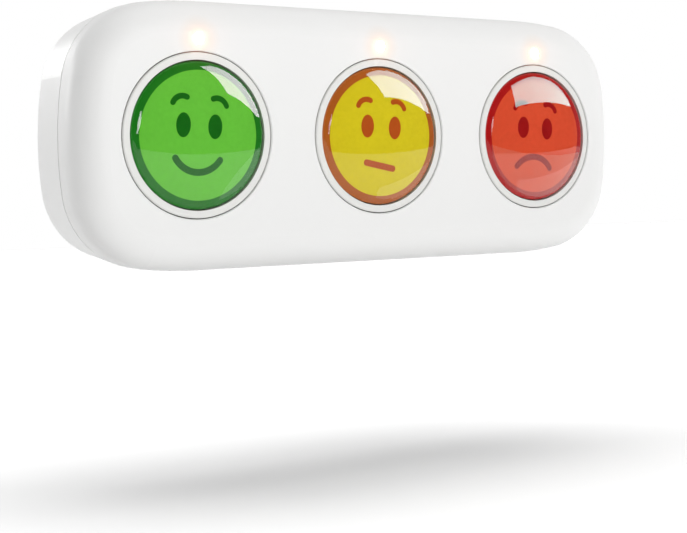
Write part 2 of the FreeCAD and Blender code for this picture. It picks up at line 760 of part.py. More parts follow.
def buttonGuide(colour):
    """The fixed cup that holds the ring, guides the plunger and seats the spring."""
    body = newBody(f"button_guide_{colour}", places[colour])
    lip = "(guideHole + springSeatWall)"
    turned(body, [
        ("guideInner", "ringBack"), ("guideOuter", "ringBack"), ("guideOuter", "floorBack"), ("guideHole", "floorBack"),
        ("guideHole", "floorFront - springSeatHeight"), (lip, "floorFront - springSeatHeight"),
        (lip, "floorFront"), ("guideInner", "floorFront"),
    ])

    def ears(sketch):
        root = "(guideOuter - guideWall / 2)"
        width = "earRadius"
        for turnX, turnZ in ((1, 1), (-1, 1), (-1, -1), (1, -1)):
            # an ear is a slot along the diagonal, with its round end about the screw
            def spot(along, across):
                x = f"{turnX} * (({along}) - {turnX * turnZ} * ({across})) * sqrt(0.5)"
                z = f"{turnZ} * (({along}) + {turnX * turnZ} * ({across})) * sqrt(0.5)"
                return x, z
            loop(sketch, [
                spot(root, f"-{width}"), (*spot("earCircle", f"-{width}"), width, 1),
                (*spot(f"earCircle + {width}", "0"), width, 1),
                spot("earCircle", width), spot(root, width),
            ])

    cut(body, "ringBack", "stopGap + keyLength + buttonTravel + keyGap",
        lambda sketch: keyPair(sketch, "keyGap", "guideOuter + keyGap"))
    pad(body, "earDepth", "earThickness", ears)
    cut(body, "earDepth", "earThickness", circlesAt(earScrews, "smallScrewRadius + screwGap"))


def returnSpring(colour):
    """The coil between the guide's floor and the plunger's plate."""
    wire = number("springWire") / 2
    radius = number("springRadius")
    low, high = number("plateBack"), number("floorFront")
    span = high - low - 2 * wire
    helix = Part.makeHelix(span / number("springTurns"), span, radius)
    ring = [FreeCAD.Vector(radius + wire * math.cos(k * math.pi / 3), 0, wire * math.sin(k * math.pi / 3))
            for k in range(6)]
    section = Part.makePolygon(ring + ring[:1])
    coil = Part.Wire(helix.Edges).makePipeShell([section], True, True)
    label = f"return_spring_{colour}"
    feature = doc.addObject("Part::Feature", label)
    feature.Label = label
    feature.Shape = coil
    feature.Placement.Rotation = FreeCAD.Rotation(FreeCAD.Vector(1, 0, 0), 90)
    place(feature, places[colour])
    bind(feature, "Placement.Base.y", "floorFront - springWire / 2 - caseDepth")
    nodes.append(feature)


def switchBody(colour):
    """The switch on the board, with the bore that its stem slides in."""
    body = newBody(f"switch_body_{colour}", places[colour])
    half = "switchWidth / 2"
    pad(body, "switchTop", "switchHeight", lambda sketch: rectangle(sketch, f"-{half}", f"-{half}", half, half))
    cut(body, "switchTop", "stemSunk + buttonTravel + 0.5", circlesAt([("0", "0")], "switchBore"))


def switchStem(colour):
    """The switch's moving stem, which the plunger's post pushes."""
    body = newBody(f"switch_stem_{colour}", places[colour])
    pad(body, "stemTop", "stemProud + stemSunk", circlesAt([("0", "0")], "stemRadius"))


def lightPipe(colour):
    """The clear rod that brings the lamp's light to the front."""
    body = newBody(f"light_pipe_{colour}", places[colour], "lampHeight")
    collar = "(caseWall + pipeCollarHeight)"
    end = "(boardDepth - lampThickness - lampGap)"
    turned(body, [
        ("0", "-pipeProud"), ("pipeRadius - pipeProud", "-pipeProud"), ("pipeRadius", "0"),
        ("pipeRadius", "caseWall"), ("pipeCollarRadius", "caseWall"), ("pipeCollarRadius", collar),
        ("pipeRadius", collar), ("pipeRadius", end), ("0", end),
    ])


# ---- circuit board ----

def mainBoard():
    """The board that carries switches, lamps, radio and battery contacts."""
    body = newBody("main_board")
    pad(body, "boardDepth", "boardThickness", lambda sketch: roundedRectangle(
        sketch, "boardWidth", "boardHeight", "boardCorner"))
    cut(body, "boardDepth", "boardThickness", circlesAt(caseScrews, "caseTubeRadius + boardNotchGap"))
    cut(body, "boardDepth", "boardThickness", circlesAt(boardScrews, "smallScrewRadius + screwGap"))


def boxOn(label, x, z, width, height, start, thickness):
    """A plain rectangular component."""
    body = newBody(label, x, z)
    pad(body, start, thickness, lambda sketch: rectangle(
        sketch, f"-{width} / 2", f"-{height} / 2", f"{width} / 2", f"{height} / 2"))


def smallParts():
    """The resistors round the controller and the two capacitors that stand behind the board."""
    pieces = []
    rows = [(along, side) for along in ("-1", "0", "1") for side in ("-1", "1")]
    reach = "(chipSize / 2 + resistorGap)"
    for turned, (along, side) in [(turned, row) for turned in (False, True) for row in rows]:
        piece = doc.addObject("Part::Box", "Resistor")
        wide, tall = ("resistorWidth", "resistorLength")[::-1 if turned else 1]
        step, away = f"{along} * resistorPitch", f"{side} * ({reach} + resistorLength / 2)"
        across, up = (away, step) if turned else (step, away)
        bind(piece, "Length", wide)
        bind(piece, "Width", "resistorHeight")
        bind(piece, "Height", tall)
        place(piece, f"{across} - buttonPitch / 2 - {wide} / 2", f"{up} - chipZ - {tall} / 2")
        bind(piece, "Placement.Base.y", "boardDepth - resistorHeight - caseDepth")
        pieces.append(piece)
    for side in ("-0.5", "0.5"):
        piece = doc.addObject("Part::Cylinder", "Capacitor")
        piece.Placement.Rotation = FreeCAD.Rotation(FreeCAD.Vector(1, 0, 0), -90)
        bind(piece, "Radius", "capRadius")
        bind(piece, "Height", "capHeight")
        place(piece, f"{side} * capPitch - moduleX", "boardHeight / 2 - antennaInsetZ")
        bind(piece, "Placement.Base.y", "boardBack - caseDepth")
        pieces.append(piece)
    group = doc.addObject("Part::Compound", "small_parts")
    group.Label = "small_parts"
    group.Links = pieces
    nodes.append(group)


def boardParts():
    """What is soldered to the board."""
    boxOn("controller_chip", "-buttonPitch / 2", "-chipZ", "chipSize", "chipSize", "boardDepth - chipHeight", "chipHeight")
    boxOn("radio_module", "moduleX", "0", "radioSize", "radioSize", "boardBack", "radioHeight")
    boxOn("antenna", "boardWidth / 2 - antennaInsetX - antennaLength / 2", "boardHeight / 2 - antennaInsetZ", "antennaLength", "antennaWidth", "boardBack", "antennaHeight")
    boxOn("sim_holder", "-moduleX", "0", "simSize", "simSize", "boardBack", "simHeight")
    for colour in colours:
        boxOn(f"indicator_lamp_{colour}", places[colour], "lampHeight", "lampWidth", "lampDepth",
              "boardDepth - lampThickness", "lampThickness")


# ---- batteries ----

def contactEnds():
    """Where a contact stands: its x, its z and whether it is the sprung end."""
    end = "(trayLength / 2 - contactSheet / 2)"
    return [(f"-{end}", "cellPitch / 2", True), (f"-{end}", "-cellPitch / 2", False),
            (end, "-cellPitch / 2", True), (end, "cellPitch / 2", False)]


def tailSlots(sketch, tails):
    """Slots in the tray's floor for the tails of the contacts."""
    for x, z in tails:
        rectangle(sketch, f"{x} - contactSheet / 2 - tailGap", f"{z} - tailWidth / 2 - tailGap",
                  f"{x} + contactSheet / 2 + tailGap", f"{z} + tailWidth / 2 + tailGap")


def batteryCells():
    """Four cells in two rows, each row end to end, the rows pointing opposite ways."""
    long = "(cellLength + nubLength)"
    for count, (row, start, way) in enumerate((
            ("cellPitch / 2", "-trayLength / 2 + leafTravel", 1),
            ("cellPitch / 2", f"-trayLength / 2 + leafTravel + {long}", 1),
            ("-cellPitch / 2", "trayLength / 2 - leafTravel", -1),
            ("-cellPitch / 2", f"trayLength / 2 - leafTravel - {long}", -1)), start=1):
        parts = []
        for offset, radius, length in (("0", "cellRadius", "cellLength"),
                                       ("cellLength - 0.2", "nubRadius", "nubLength + 0.2")):
            piece = doc.addObject("Part::Cylinder", "Cylinder")
            piece.Placement.Rotation = FreeCAD.Rotation(FreeCAD.Vector(0, 1, 0), 90 * way)
            bind(piece, "Radius", radius)
            bind(piece, "Height", length)
            place(piece, f"{start} + {way} * ({offset})", row)
            bind(piece, "Placement.Base.y", "cellDepth - caseDepth")
            parts.append(piece)
        cell = doc.addObject("Part::MultiFuse", f"battery_cell_{count}")
        cell.Label = f"battery_cell_{count}"
        cell.Shapes = parts
        nodes.append(cell)


def contact(body, x, z, sprung):
    """One contact: its sheet, its tail to the board, and a bowed leaf or a flat pad."""
    inward = "-1" if x.startswith("(") else "1"
    half = "contactSheet / 2"
    pad(body, "trayDepth", "cellBack - trayDepth", lambda sketch: rectangle(
        sketch, f"{x} - {half}", f"{z} - contactWidth / 2", f"{x} + {half}", f"{z} + contactWidth / 2"))
    pad(body, "boardBack", "trayDepth - boardBack", lambda sketch: rectangle(
        sketch, f"{x} - {half}", f"{z} - tailWidth / 2", f"{x} + {half}", f"{z} + tailWidth / 2"))
    if not sprung:
        pad(body, "cellDepth - nubRadius", "2 * nubRadius", lambda sketch: rectangle(
            sketch, x, f"{z} - nubRadius", f"{x} + {inward} * (padDepth - {half})", f"{z} + nubRadius"))
        return
    bow = "(leafTravel - contactSheet)"
    inner = f"((leafChord^2 / 4 + ({bow} - contactSheet)^2) / (2 * ({bow} - contactSheet)))"
    outer = f"((leafChord^2 / 4 + {bow}^2) / (2 * {bow}))"
    side = 1 if inward == "1" else -1
    face = f"({x} + {inward} * {half})"

    def leaf(sketch):
        loop(sketch, [
            (face, "cellDepth - leafChord / 2", outer, side),
            (face, "cellDepth + leafChord / 2"),
            (f"{face} - {inward} * {half}", "cellDepth + leafChord / 2"),
            (f"{face} - {inward} * {half}", "cellDepth - leafChord / 2"),
        ])

    def hollow(sketch):
        loop(sketch, [
            (face, "cellDepth - leafChord / 2 + contactSheet", inner, side),
            (face, "cellDepth + leafChord / 2 - contactSheet"),
        ])

    pad(body, f"{z} - leafWidth / 2", "leafWidth", leaf, plane="XY_Plane")
    cut(body, f"{z} - leafWidth / 2", "leafWidth", hollow, plane="XY_Plane")


def contacts():
    """Two single contacts at one end of the tray and the bridge at the other."""
    ends = contactEnds()
    for label, chosen in (("contact_minus", ends[:1]), ("contact_plus", ends[1:2])):
        body = newBody(label)
        for x, z, sprung in chosen:
            contact(body, x, z, sprung)
    body = newBody("contact_bridge")
    for x, z, sprung in ends[2:]:
        contact(body, x, z, sprung)
    x = ends[2][0]
    pad(body, "cellDepth + cellRadius / 2", "cellRadius / 2", lambda sketch: rectangle(
        sketch, f"{x} - contactSheet / 2", "-cellPitch / 2", f"{x} + contactSheet / 2", "cellPitch / 2"))


def doorOutline(sketch, grown):
    """The outline of the battery door, with an ear for a screw at each end."""
    roundedRectangle(sketch, f"trayLength + 2 * (trayWall + doorEar + {grown})",
                     f"trayHeight + 2 * (doorMargin + {grown})", f"doorCorner + {grown}")


def batteryDoor():
    """The plate that closes the tray from behind."""
    body = newBody("battery_door")
    pad(body, "doorFront", "doorThickness", lambda sketch: doorOutline(sketch, "0"))
    cut(body, "doorFront", "doorThickness", circlesAt(doorScrews, "smallScrewRadius + screwGap"))


# ---- wall plate ----

def wallPlate():
    """The steel plate that is screwed to the wall, with a tab bent forward at its lower edge."""
    body = newBody("wall_plate")
    pad(body, "plateFront", "plateThickness", lambda sketch: roundedRectangle(
        sketch, "plateWidth", "plateHeight", "plateCorner"))
    low = "-plateHeight / 2"
    pad(body, "plateFront - tabReach", "tabReach + plateThickness / 2", lambda sketch: rectangle(
        sketch, "-tabWidth / 2", low, "tabWidth / 2", f"{low} + plateThickness"))
    cut(body, "plateFront", "plateThickness", circlesAt(wallHoles, "wallHoleRadius"))
    cut(body, "plateFront", "plateThickness", circlesAt(studs, "studTailRadius"))
    cut(body, low, "plateThickness", circlesAt([("0", "lockDepth")], "lockRadius + threadGap"),
        plane="XY_Plane")


def hangingStud(side, x):
    """A shouldered stud, riveted into the plate, that hooks into a keyhole."""
    body = newBody(f"hanging_stud_{side}", x, "studZ")
    head = "(recessFloor - caseWall - studPlay)"
    turned(body, [
        ("0", f"{head} - studHeadHeight"), ("studHeadRadius", f"{head} - studHeadHeight"),
        ("studHeadRadius", head), ("studRadius", head), ("studRadius", "plateFront"),
        ("studTailRadius", "plateFront"), ("studTailRadius", "caseDepth"), ("0", "caseDepth"),
    ])


def lockScrew():
    """The screw from below that locks the case to the plate's tab."""
    body = newBody("lock_screw")
    seat = "-(halfHeight - lockSeat)"
    pad(body, seat, "halfHeight - lockSeat - plateHeight / 2 + plateThickness + lockProud", circlesAt([("0", "lockDepth")], "lockRadius"), plane="XY_Plane")
    pad(body, f"{seat} - screwHeadHeight", "screwHeadHeight",
        circlesAt([("0", "lockDepth")], "lockRadius * screwHeadRatio"), plane="XY_Plane")


# ---- the whole ----

def build():
    """Makes every sub-part."""
    frontCover()
    rearCover()
    caseGasket()
    screwSet("housing_screws", caseScrews, "caseScrewSeat", "caseScrewRadius", "caseScrewLength")
    for colour in colours:
        bezelRing(colour)
        domeLens(colour)
        faceInsert(colour)
        plunger(colour)
        buttonGuide(colour)
        returnSpring(colour)
        switchBody(colour)
        switchStem(colour)
        lightPipe(colour)
    screwSet("guide_screws", allEarScrews, "(earDepth + earThickness)", "smallScrewRadius", "smallScrewLength")
    mainBoard()
    screwSet("board_screws", boardScrews, "boardBack", "smallScrewRadius", "smallScrewLength")
    boardParts()
    smallParts()
    batteryCells()
    contacts()
    batteryDoor()
    screwSet("door_screws", doorScrews, "recessFloor", "smallScrewRadius", "doorBossHeight", "doorHeadHeight")
    wallPlate()
    hangingStud("left", "-studX")
    hangingStud("right", "studX")
    lockScrew()
    doc.recompute()


def checkModel():
    """Stops if any object failed or any cut removed nothing."""
    faults = []
    for thing in doc.Objects:
        if {"Invalid", "Error"} & set(thing.State):
            faults.append(f"{thing.Name} {thing.getParentGeoFeatureGroup().Label} {thing.State}")
        elif thing.TypeId == "PartDesign::Pocket":
            base = thing.BaseFeature
            if thing.Shape.Volume > base.Shape.Volume - 1e-4:
                faults.append(f"{thing.Name} removes nothing")
    for node in nodes:
        if node.Shape.isNull() or not node.Shape.isValid() or not node.Shape.Solids:
            faults.append(f"{node.Label} has no valid solid")
    if faults:
        raise RuntimeError("; ".join(faults))


def export():
    """Writes one STEP file for each sub-part."""
    os.makedirs("parts", exist_ok=True)
    for node in nodes:
        node.Shape.exportStep(f"parts/{node.Label}.step")
        print(f"{node.Label}: {len(node.Shape.Solids)} solid(s), {node.Shape.Volume / 1000:.2f} cm3")


build()
checkModel()
export()
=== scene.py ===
import math

import bmesh
import bpy
from mathutils import Matrix, Vector


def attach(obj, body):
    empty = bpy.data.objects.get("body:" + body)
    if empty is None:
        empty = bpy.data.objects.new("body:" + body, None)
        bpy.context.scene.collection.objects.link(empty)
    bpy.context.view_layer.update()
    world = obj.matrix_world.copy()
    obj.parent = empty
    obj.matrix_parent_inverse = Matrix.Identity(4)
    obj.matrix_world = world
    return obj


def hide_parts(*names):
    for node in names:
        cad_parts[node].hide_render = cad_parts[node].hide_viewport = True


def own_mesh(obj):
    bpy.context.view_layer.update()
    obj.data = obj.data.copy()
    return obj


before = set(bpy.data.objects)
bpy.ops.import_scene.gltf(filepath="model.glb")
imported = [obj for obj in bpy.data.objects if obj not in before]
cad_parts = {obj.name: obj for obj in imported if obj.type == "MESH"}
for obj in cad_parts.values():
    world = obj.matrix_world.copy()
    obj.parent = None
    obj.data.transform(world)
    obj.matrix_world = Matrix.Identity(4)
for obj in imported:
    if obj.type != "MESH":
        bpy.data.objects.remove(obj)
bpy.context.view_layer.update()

mm = 0.001
buttonPitch = 80 * mm
caseFront = -44.5 * mm


def tone(red, green, blue):
    # a colour given in 0 to 255, as the renderer counts light
    def share(value):
        value /= 255
        return value / 12.92 if value <= 0.04045 else ((value + 0.055) / 1.055) ** 2.4
    return (share(red), share(green), share(blue), 1)


def shaded(colour, share):
    return tuple(part * share for part in colour[:3]) + (1,)


def addThing(name, data):
    thing = bpy.data.objects.new(name, data)
    bpy.context.scene.collection.objects.link(thing)
    return thing


# camera

cameraView = {
    "position": (-0.31717, -0.49612, -0.00759),
    "yaw": -33.562,
    "tilt": 0.826,
    "roll": 0.364,
    "lens": 73.73,
    "sensor": 36,
    "shiftY": -0.1914,
    "clip": (0.01, 20),
}


def addCamera():
    data = bpy.data.cameras.new("terminalCamera")
    data.lens = cameraView["lens"]
    data.sensor_width = cameraView["sensor"]
    data.shift_y = cameraView["shiftY"]
    data.clip_start, data.clip_end = cameraView["clip"]
    camera = addThing("terminalCamera", data)
    turn = (Matrix.Rotation(math.radians(cameraView["yaw"]), 4, "Z")
            @ Matrix.Rotation(math.radians(90 + cameraView["tilt"]), 4, "X")
            @ Matrix.Rotation(math.radians(-cameraView["roll"]), 4, "Z"))
    camera.matrix_world = Matrix.Translation(cameraView["position"]) @ turn
    bpy.context.scene.camera = camera


addCamera()
print("camera set")


# meshes

weld = 1e-7


def finishPiece(name, bm, finishes, smoothAngle=None):
    bmesh.ops.remove_doubles(bm, verts=bm.verts, dist=weld)
    mesh = bpy.data.meshes.new(name)
    bm.to_mesh(mesh)
    bm.free()
    for finish in finishes:
        mesh.materials.append(finish.owner)
    if smoothAngle is not None:
        mesh.shade_smooth()
        mesh.set_sharp_from_angle(angle=math.radians(smoothAngle))
    return addThing(name, mesh)


def vertsOf(items):
    return [item for item in items if isinstance(item, bmesh.types.BMVert)]


def turnRound(bm, geometry, steps):
    # a full turn round a button's axis
    bmesh.ops.spin(bm, geom=geometry, axis=(0, 1, 0), angle=2 * math.pi, steps=steps, use_merge=True)


def flatRing(bm, inner, outer, depth, steps):
    ends = [bm.verts.new((radius, depth, 0)) for radius in (inner, outer)]
    turnRound(bm, ends + [bm.edges.new(ends)], steps)


def uprightDisc(bm, radius, segments):
    verts = bmesh.ops.create_circle(bm, cap_ends=True, segments=segments, radius=radius)["verts"]
    bmesh.ops.rotate(bm, matrix=Matrix.Rotation(math.pi / 2, 3, "X"), verts=verts)
    return verts


def thicken(bm, depth):
    grown = bmesh.ops.extrude_face_region(bm, geom=bm.faces[:])
    bmesh.ops.translate(bm, vec=(0, depth, 0), verts=vertsOf(grown["geom"]))


def faceOutwards(bm):
    bmesh.ops.recalc_face_normals(bm, faces=bm.faces)
    if bm.calc_volume(signed=True) < 0:
        bmesh.ops.reverse_faces(bm, faces=bm.faces)


def finishRound(name, bm, finish, x, smoothAngle):
    # a piece that was drawn round the middle button's axis and belongs at x
    bmesh.ops.translate(bm, vec=(x, 0, 0), verts=bm.verts)
    faceOutwards(bm)
    return finishPiece(name, bm, [finish], smoothAngle)


# finishes

class Finish:
    # a material or the world, with short ways to draw its pattern in nodes

    def __init__(self, owner):
        owner.use_nodes = True
        self.owner = owner
        self.nodes, self.links = owner.node_tree.nodes, owner.node_tree.links
        self.surface = self.nodes.get("Principled BSDF")

    def new(self, kind):
        return self.nodes.new(f"ShaderNode{kind}")

    def fill(self, socket, value):
        # with a number, a colour or what another node gives
        if isinstance(value, bpy.types.NodeSocket):
            self.links.new(value, socket)
        else:
            socket.default_value = value

    def give(self, name, value):
        self.fill(self.surface.inputs[name], value)

    def show(self, shader):
        self.links.new(shader, self.nodes["Material Output"].inputs["Surface"])

    def place(self, stretch=(1, 1, 1)):
        # the piece's own coordinates, in metres
        mapping = self.new("Mapping")
        mapping.inputs["Scale"].default_value = stretch
        self.links.new(self.new("TexCoord").outputs["Object"], mapping.inputs["Vector"])
        return mapping.outputs["Vector"]

    def axis(self, place, name):
        split = self.new("SeparateXYZ")
        self.links.new(place, split.inputs[0])
        return split.outputs[name]

    def reckon(self, operation, *values):
        node = self.new("Math")
        node.operation = operation
        for socket, value in zip(node.inputs, values):
            self.fill(socket, value)
        return node.outputs[0]

    def both(self, first, second):
        # 1 where two patterns are 1 together
        return self.reckon("MULTIPLY", first, second)

    def spread(self, value, low, high, start=0.3, end=0.7):
        # maps a pattern to a range of numbers
        node = self.new("MapRange")
        for name, part in (("Value", value), ("To Min", low), ("To Max", high), ("From Min", start),
                           ("From Max", end)):
            self.fill(node.inputs[name], part)
        return node.outputs["Result"]

    def fade(self, value, start, end):
        # from 1 to 0 as the value grows
        return self.spread(value, 1, 0, start, end)

    def past(self, value, edge, soft):
        return self.spread(value, 0, 1, edge - soft, edge + soft)

    def within(self, value, middle, half, soft=0.03 * mm):
        # 1 near a value, 0 away from it
        away = self.reckon("ABSOLUTE", self.reckon("SUBTRACT", value, middle))
        return self.fade(away, half - soft, half + soft)

    def awayFrom(self, place, x, z):
        # the distance from an axis along Y
        squares = []
        for name, middle in (("X", x), ("Z", z)):
            off = self.reckon("SUBTRACT", self.axis(place, name), middle)
            squares.append(self.reckon("MULTIPLY", off, off))
        return self.reckon("SQRT", self.reckon("ADD", *squares))

    def texture(self, kind, place, **numbers):
        node = self.new(kind)
        for name, value in numbers.items():
            node.inputs[name.capitalize()].default_value = value
        self.links.new(place, node.inputs["Vector"])
        return node.outputs

    def cloud(self, place, scale, detail=3.0, roughness=0.55):
        return self.texture("TexNoise", place, scale=scale, detail=detail, roughness=roughness)["Fac"]

    def patches(self, place, scale, start, end, most=1, **cloudy):
        # what a cloud leaves above a threshold
        return self.spread(self.cloud(place, scale, **cloudy), 0, most, start, end)

    def dots(self, place, pitch, radius, jitter=0.0):
        # 1 inside small discs, in rows or scattered
        away = self.texture("TexVoronoi", place, scale=1 / pitch, randomness=jitter)["Distance"]
        share = radius / pitch
        return self.fade(away, share * 0.85, share * 1.15)

    def lines(self, place, axis, pitch, wide):
        # 1 on even lines across an axis
        fold = self.reckon("PINGPONG", self.axis(place, axis), pitch / 2)
        return self.fade(fold, wide * 0.42, wide * 0.58)

    def mix(self, share, first, second, kind="RGBA"):
        node = self.new("Mix")
        node.data_type = kind
        for name, value in ((0, share), ("A", first), ("B", second)):
            self.fill(node.inputs[name], value)
        return next(socket for socket in node.outputs if socket.enabled)

    def mixShaders(self, share, first, second):
        node = self.new("MixShader")
        for socket, value in zip(node.inputs, (share, first, second)):
            self.links.new(value, socket)
        return node.outputs[0]

    def overlayValue(self, name, pattern, amount):
        # sets a number of the finish where the pattern is 1
        socket = self.surface.inputs[name]
        under = socket.links[0].from_socket if socket.links else socket.default_value
        self.give(name, self.mix(pattern, under, amount, "FLOAT"))

    def overlay(self, pattern, colour, metallic=None):
        # lays a colour over what the finish already has, where the pattern is 1
        under = self.surface.inputs["Base Color"].links[0].from_socket
        self.give("Base Color", self.mix(pattern, under, colour))
        if metallic is not None:
            self.overlayValue("Metallic", pattern, metallic)

    def bump(self, height, depth, strength=1.0):
        # raises a pattern, over any bumps that the finish already has
        node = self.new("Bump")
        for name, value in (("Height", height), ("Distance", depth), ("Strength", strength)):
            self.fill(node.inputs[name], value)
        normal = self.surface.inputs["Normal"]
        if normal.links:
            self.links.new(normal.links[0].from_socket, node.inputs["Normal"])
        self.links.new(node.outputs["Normal"], normal)


def startFinish(name):
    return Finish(bpy.data.materials.new(name))


def wear(node, finish):
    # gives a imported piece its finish, shape untouched
    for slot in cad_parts[node].material_slots:
        slot.material = finish.owner


def mouldedPlastic(name, colour, rough, grain=0.004, variation=0.03, grainScale=2600):
    # slow colour drift, patchy gloss and the fine skin that a mould leaves
    finish = startFinish(name)
    place = finish.place()
    drift = finish.spread(finish.cloud(place, scale=18, detail=2), 0, 1)
    finish.give("Base Color", finish.mix(drift, colour, shaded(colour, 1 - variation)))
    patches = finish.cloud(place, scale=140, detail=4)
    finish.give("Roughness", finish.spread(patches, low=rough * 0.88, high=rough * 1.14))
    finish.bump(finish.cloud(place, scale=grainScale, detail=2), grain * mm, strength=0.6)
    finish.give("IOR", 1.5)
    return finish


def sheetMetal(name, colour, rough, stretch=(1, 1, 1), scratch=0.002, scale=900):
    # plated metal with a fine direction in its scratches
    finish = startFinish(name)
    streaks = finish.cloud(finish.place(stretch), scale=scale, detail=5, roughness=0.7)
    stains = finish.spread(finish.cloud(finish.place(), scale=60), 0, 1)
    finish.give("Base Color", finish.mix(stains, colour, shaded(colour, 0.82)))
    finish.give("Roughness", finish.spread(streaks, low=rough * 0.75, high=rough * 1.3))
    finish.bump(streaks, scratch * mm, strength=0.5)
    finish.give("Metallic", 1)
    return finish


# the room, the table and the lamps

studio = {
    "floorHeight": -0.132,
    "floorLeft": -1.7,
    "floorRight": 2.6,
    "floorFront": -0.80,
    "floorBack": 1.3,
    "floorSegments": 43,
    "bowReach": 0.35,         # how much further forward the floor runs at its left,
    "bowFrom": 0.35,          # from this x on,
    "bowWidth": 0.6,          # growing over this width
    "floorTone": 0.455,
    "floorGrain": 0.01,
    "floorBounce": 0.29,      # what the floor gives back to matt surfaces
    "backGlow": 0.85,         # the room behind the terminal, and before it
    "frontGlow": 0.12,
    "backGloss": 1.0,
    "frontGloss": 0.03,
    "glowTurns": (-0.35, 0.25),
}

lamps = {
    "top": {"kind": "SUN", "from": (0.15, -0.05, 1), "strength": 0.80, "spread": 50, "mattOnly": True},
    "front": {"kind": "SUN", "from": (0.24, -1, 0.05), "strength": 2.46, "spread": 50, "mattOnly": True},
    "backLeft": {"kind": "AREA", "at": (-0.85, 0.85, 0.28), "aim": (-0.1, 0, 0), "size": (0.5, 0.4),
                 "strength": 3.2, "skipsFloor": True},
    "rearGlow": {"kind": "AREA", "at": (-0.25, 1.2, 0.33), "aim": (-0.12, 0, 0), "size": (0.3, 0.25),
                 "strength": 1.5, "skipsFloor": True},
}

# a long oval light over the table, turned to the camera
tableLight = {
    "height": 6.0,
    "shift": (0.13, 0.0),     # this and the next two are shares of the height
    "long": 1.10,
    "wide": 0.42,
    "turn": -27.6,
    "strength": 1005,
}


def floorPaint():
    # a pale table that gives less back to matt surfaces than it shows
    finish = startFinish("paleFloor")
    pale = studio["floorTone"]
    grain = finish.spread(finish.cloud(finish.place(), scale=6), pale - studio["floorGrain"], pale)
    matt = finish.new("LightPath").outputs["Is Diffuse Ray"]
    finish.give("Base Color", finish.mix(matt, grain, studio["floorBounce"], "FLOAT"))
    finish.give("Roughness", 0.9)
    finish.give("Specular IOR Level", 0)
    return finish


def layFloor():
    left, right, front, back = (studio[f"floor{side}"] for side in ("Left", "Right", "Front", "Back"))
    bm = bmesh.new()
    bmesh.ops.create_grid(bm, x_segments=studio["floorSegments"], y_segments=1, size=0.5)
    bmesh.ops.scale(bm, vec=(right - left, back - front, 1), verts=bm.verts)
    middle = ((left + right) / 2, (front + back) / 2, studio["floorHeight"])
    bmesh.ops.translate(bm, vec=middle, verts=bm.verts)
    for vert in bm.verts:
        if vert.co.y < 0:
            share = min(max((studio["bowFrom"] - vert.co.x) / studio["bowWidth"], 0), 1)
            vert.co.y -= studio["bowReach"] * share * share
    floor = finishPiece("studioFloor", bm, [floorPaint()])
    return floor


def makeRoom():
    # white to the eye; light behind the terminal and dim before it for all else
    room = Finish(bpy.data.worlds.new("studioRoom"))
    bpy.context.scene.world = room.owner
    room.nodes.clear()
    depth = room.axis(room.new("TexCoord").outputs["Generated"], "Y")
    ray = room.new("LightPath").outputs

    def glow(front, back):
        background = room.new("Background")
        room.fill(background.inputs["Strength"], room.spread(depth, front, back, *studio["glowTurns"]))
        return background.outputs[0]

    soft = glow(studio["frontGlow"], studio["backGlow"])
    gloss = glow(studio["frontGloss"], studio["backGloss"])
    mirrored = room.reckon("SUBTRACT", ray["Is Glossy Ray"], ray["Is Transmission Ray"])
    mirrored.node.use_clamp = True
    white = room.new("Background")
    white.inputs["Color"].default_value = (1, 1, 1, 1)
    unseen = room.mixShaders(mirrored, soft, gloss)
    shown = room.mixShaders(ray["Is Camera Ray"], unseen, white.outputs[0])
    room.links.new(shown, room.new("OutputWorld").inputs["Surface"])


def groupTargets(floor):
    # each lens and the floor can have lamps of their own
    things = {colour: bpy.data.objects[f"crystalLens_{colour}"] for colour in buttons}
    things["floor"] = things["notFloor"] = floor
    targets = {}
    for name, thing in things.items():
        targets[name] = bpy.data.collections.new(f"{name}Target")
        targets[name].objects.link(thing)
    targets["notFloor"].collection_objects[0].light_linking.link_state = "EXCLUDE"
    return targets


def addLamp(name, facts, targets):
    data = bpy.data.lights.new(name, facts["kind"])
    data.energy = facts["strength"]
    lamp = addThing(name, data)
    if facts["kind"] == "SUN":
        data.angle = math.radians(facts["spread"])
        way, place = -Vector(facts["from"]), Vector(facts["from"])
    else:
        data.shape = "RECTANGLE"
        data.size, data.size_y = facts["size"]
        way, place = Vector(facts["aim"]) - Vector(facts["at"]), Vector(facts["at"])
    lamp.matrix_world = Matrix.Translation(place) @ way.to_track_quat("-Z", "Y").to_matrix().to_4x4()
    lamp.visible_camera = False
    lamp.visible_glossy = not facts.get("mattOnly", False)
    if facts.get("skipsFloor"):
        lamp.light_linking.receiver_collection = targets["notFloor"]


def lightTable(targets):
    height = tableLight["height"]
    data = bpy.data.lights.new("tableLight", "AREA")
    data.shape, data.energy = "ELLIPSE", tableLight["strength"]
    data.size, data.size_y = 2 * height * tableLight["long"], 2 * height * tableLight["wide"]
    lamp = addThing("tableLight", data)
    across, along = tableLight["shift"]
    place = Matrix.Translation((height * across, height * along, studio["floorHeight"] + height))
    lamp.matrix_world = place @ Matrix.Rotation(math.radians(tableLight["turn"]), 4, "Z")
    lamp.visible_camera = lamp.visible_glossy = False
    lamp.light_linking.receiver_collection = targets["floor"]


# panels seen only in the polish of the lenses, each drawn by where it shows on its lens, in millimetres:
# every row of three points is one bow of its inner side, and its outer side runs along the lens's edge

streakSides = {
    "outer": ((-23.5, 8.3), (-24.9, 0.2)),
    "inner": (((-23.5, 8.4), (-24.5, 4.4), (-24.9, 0.1)),),
}

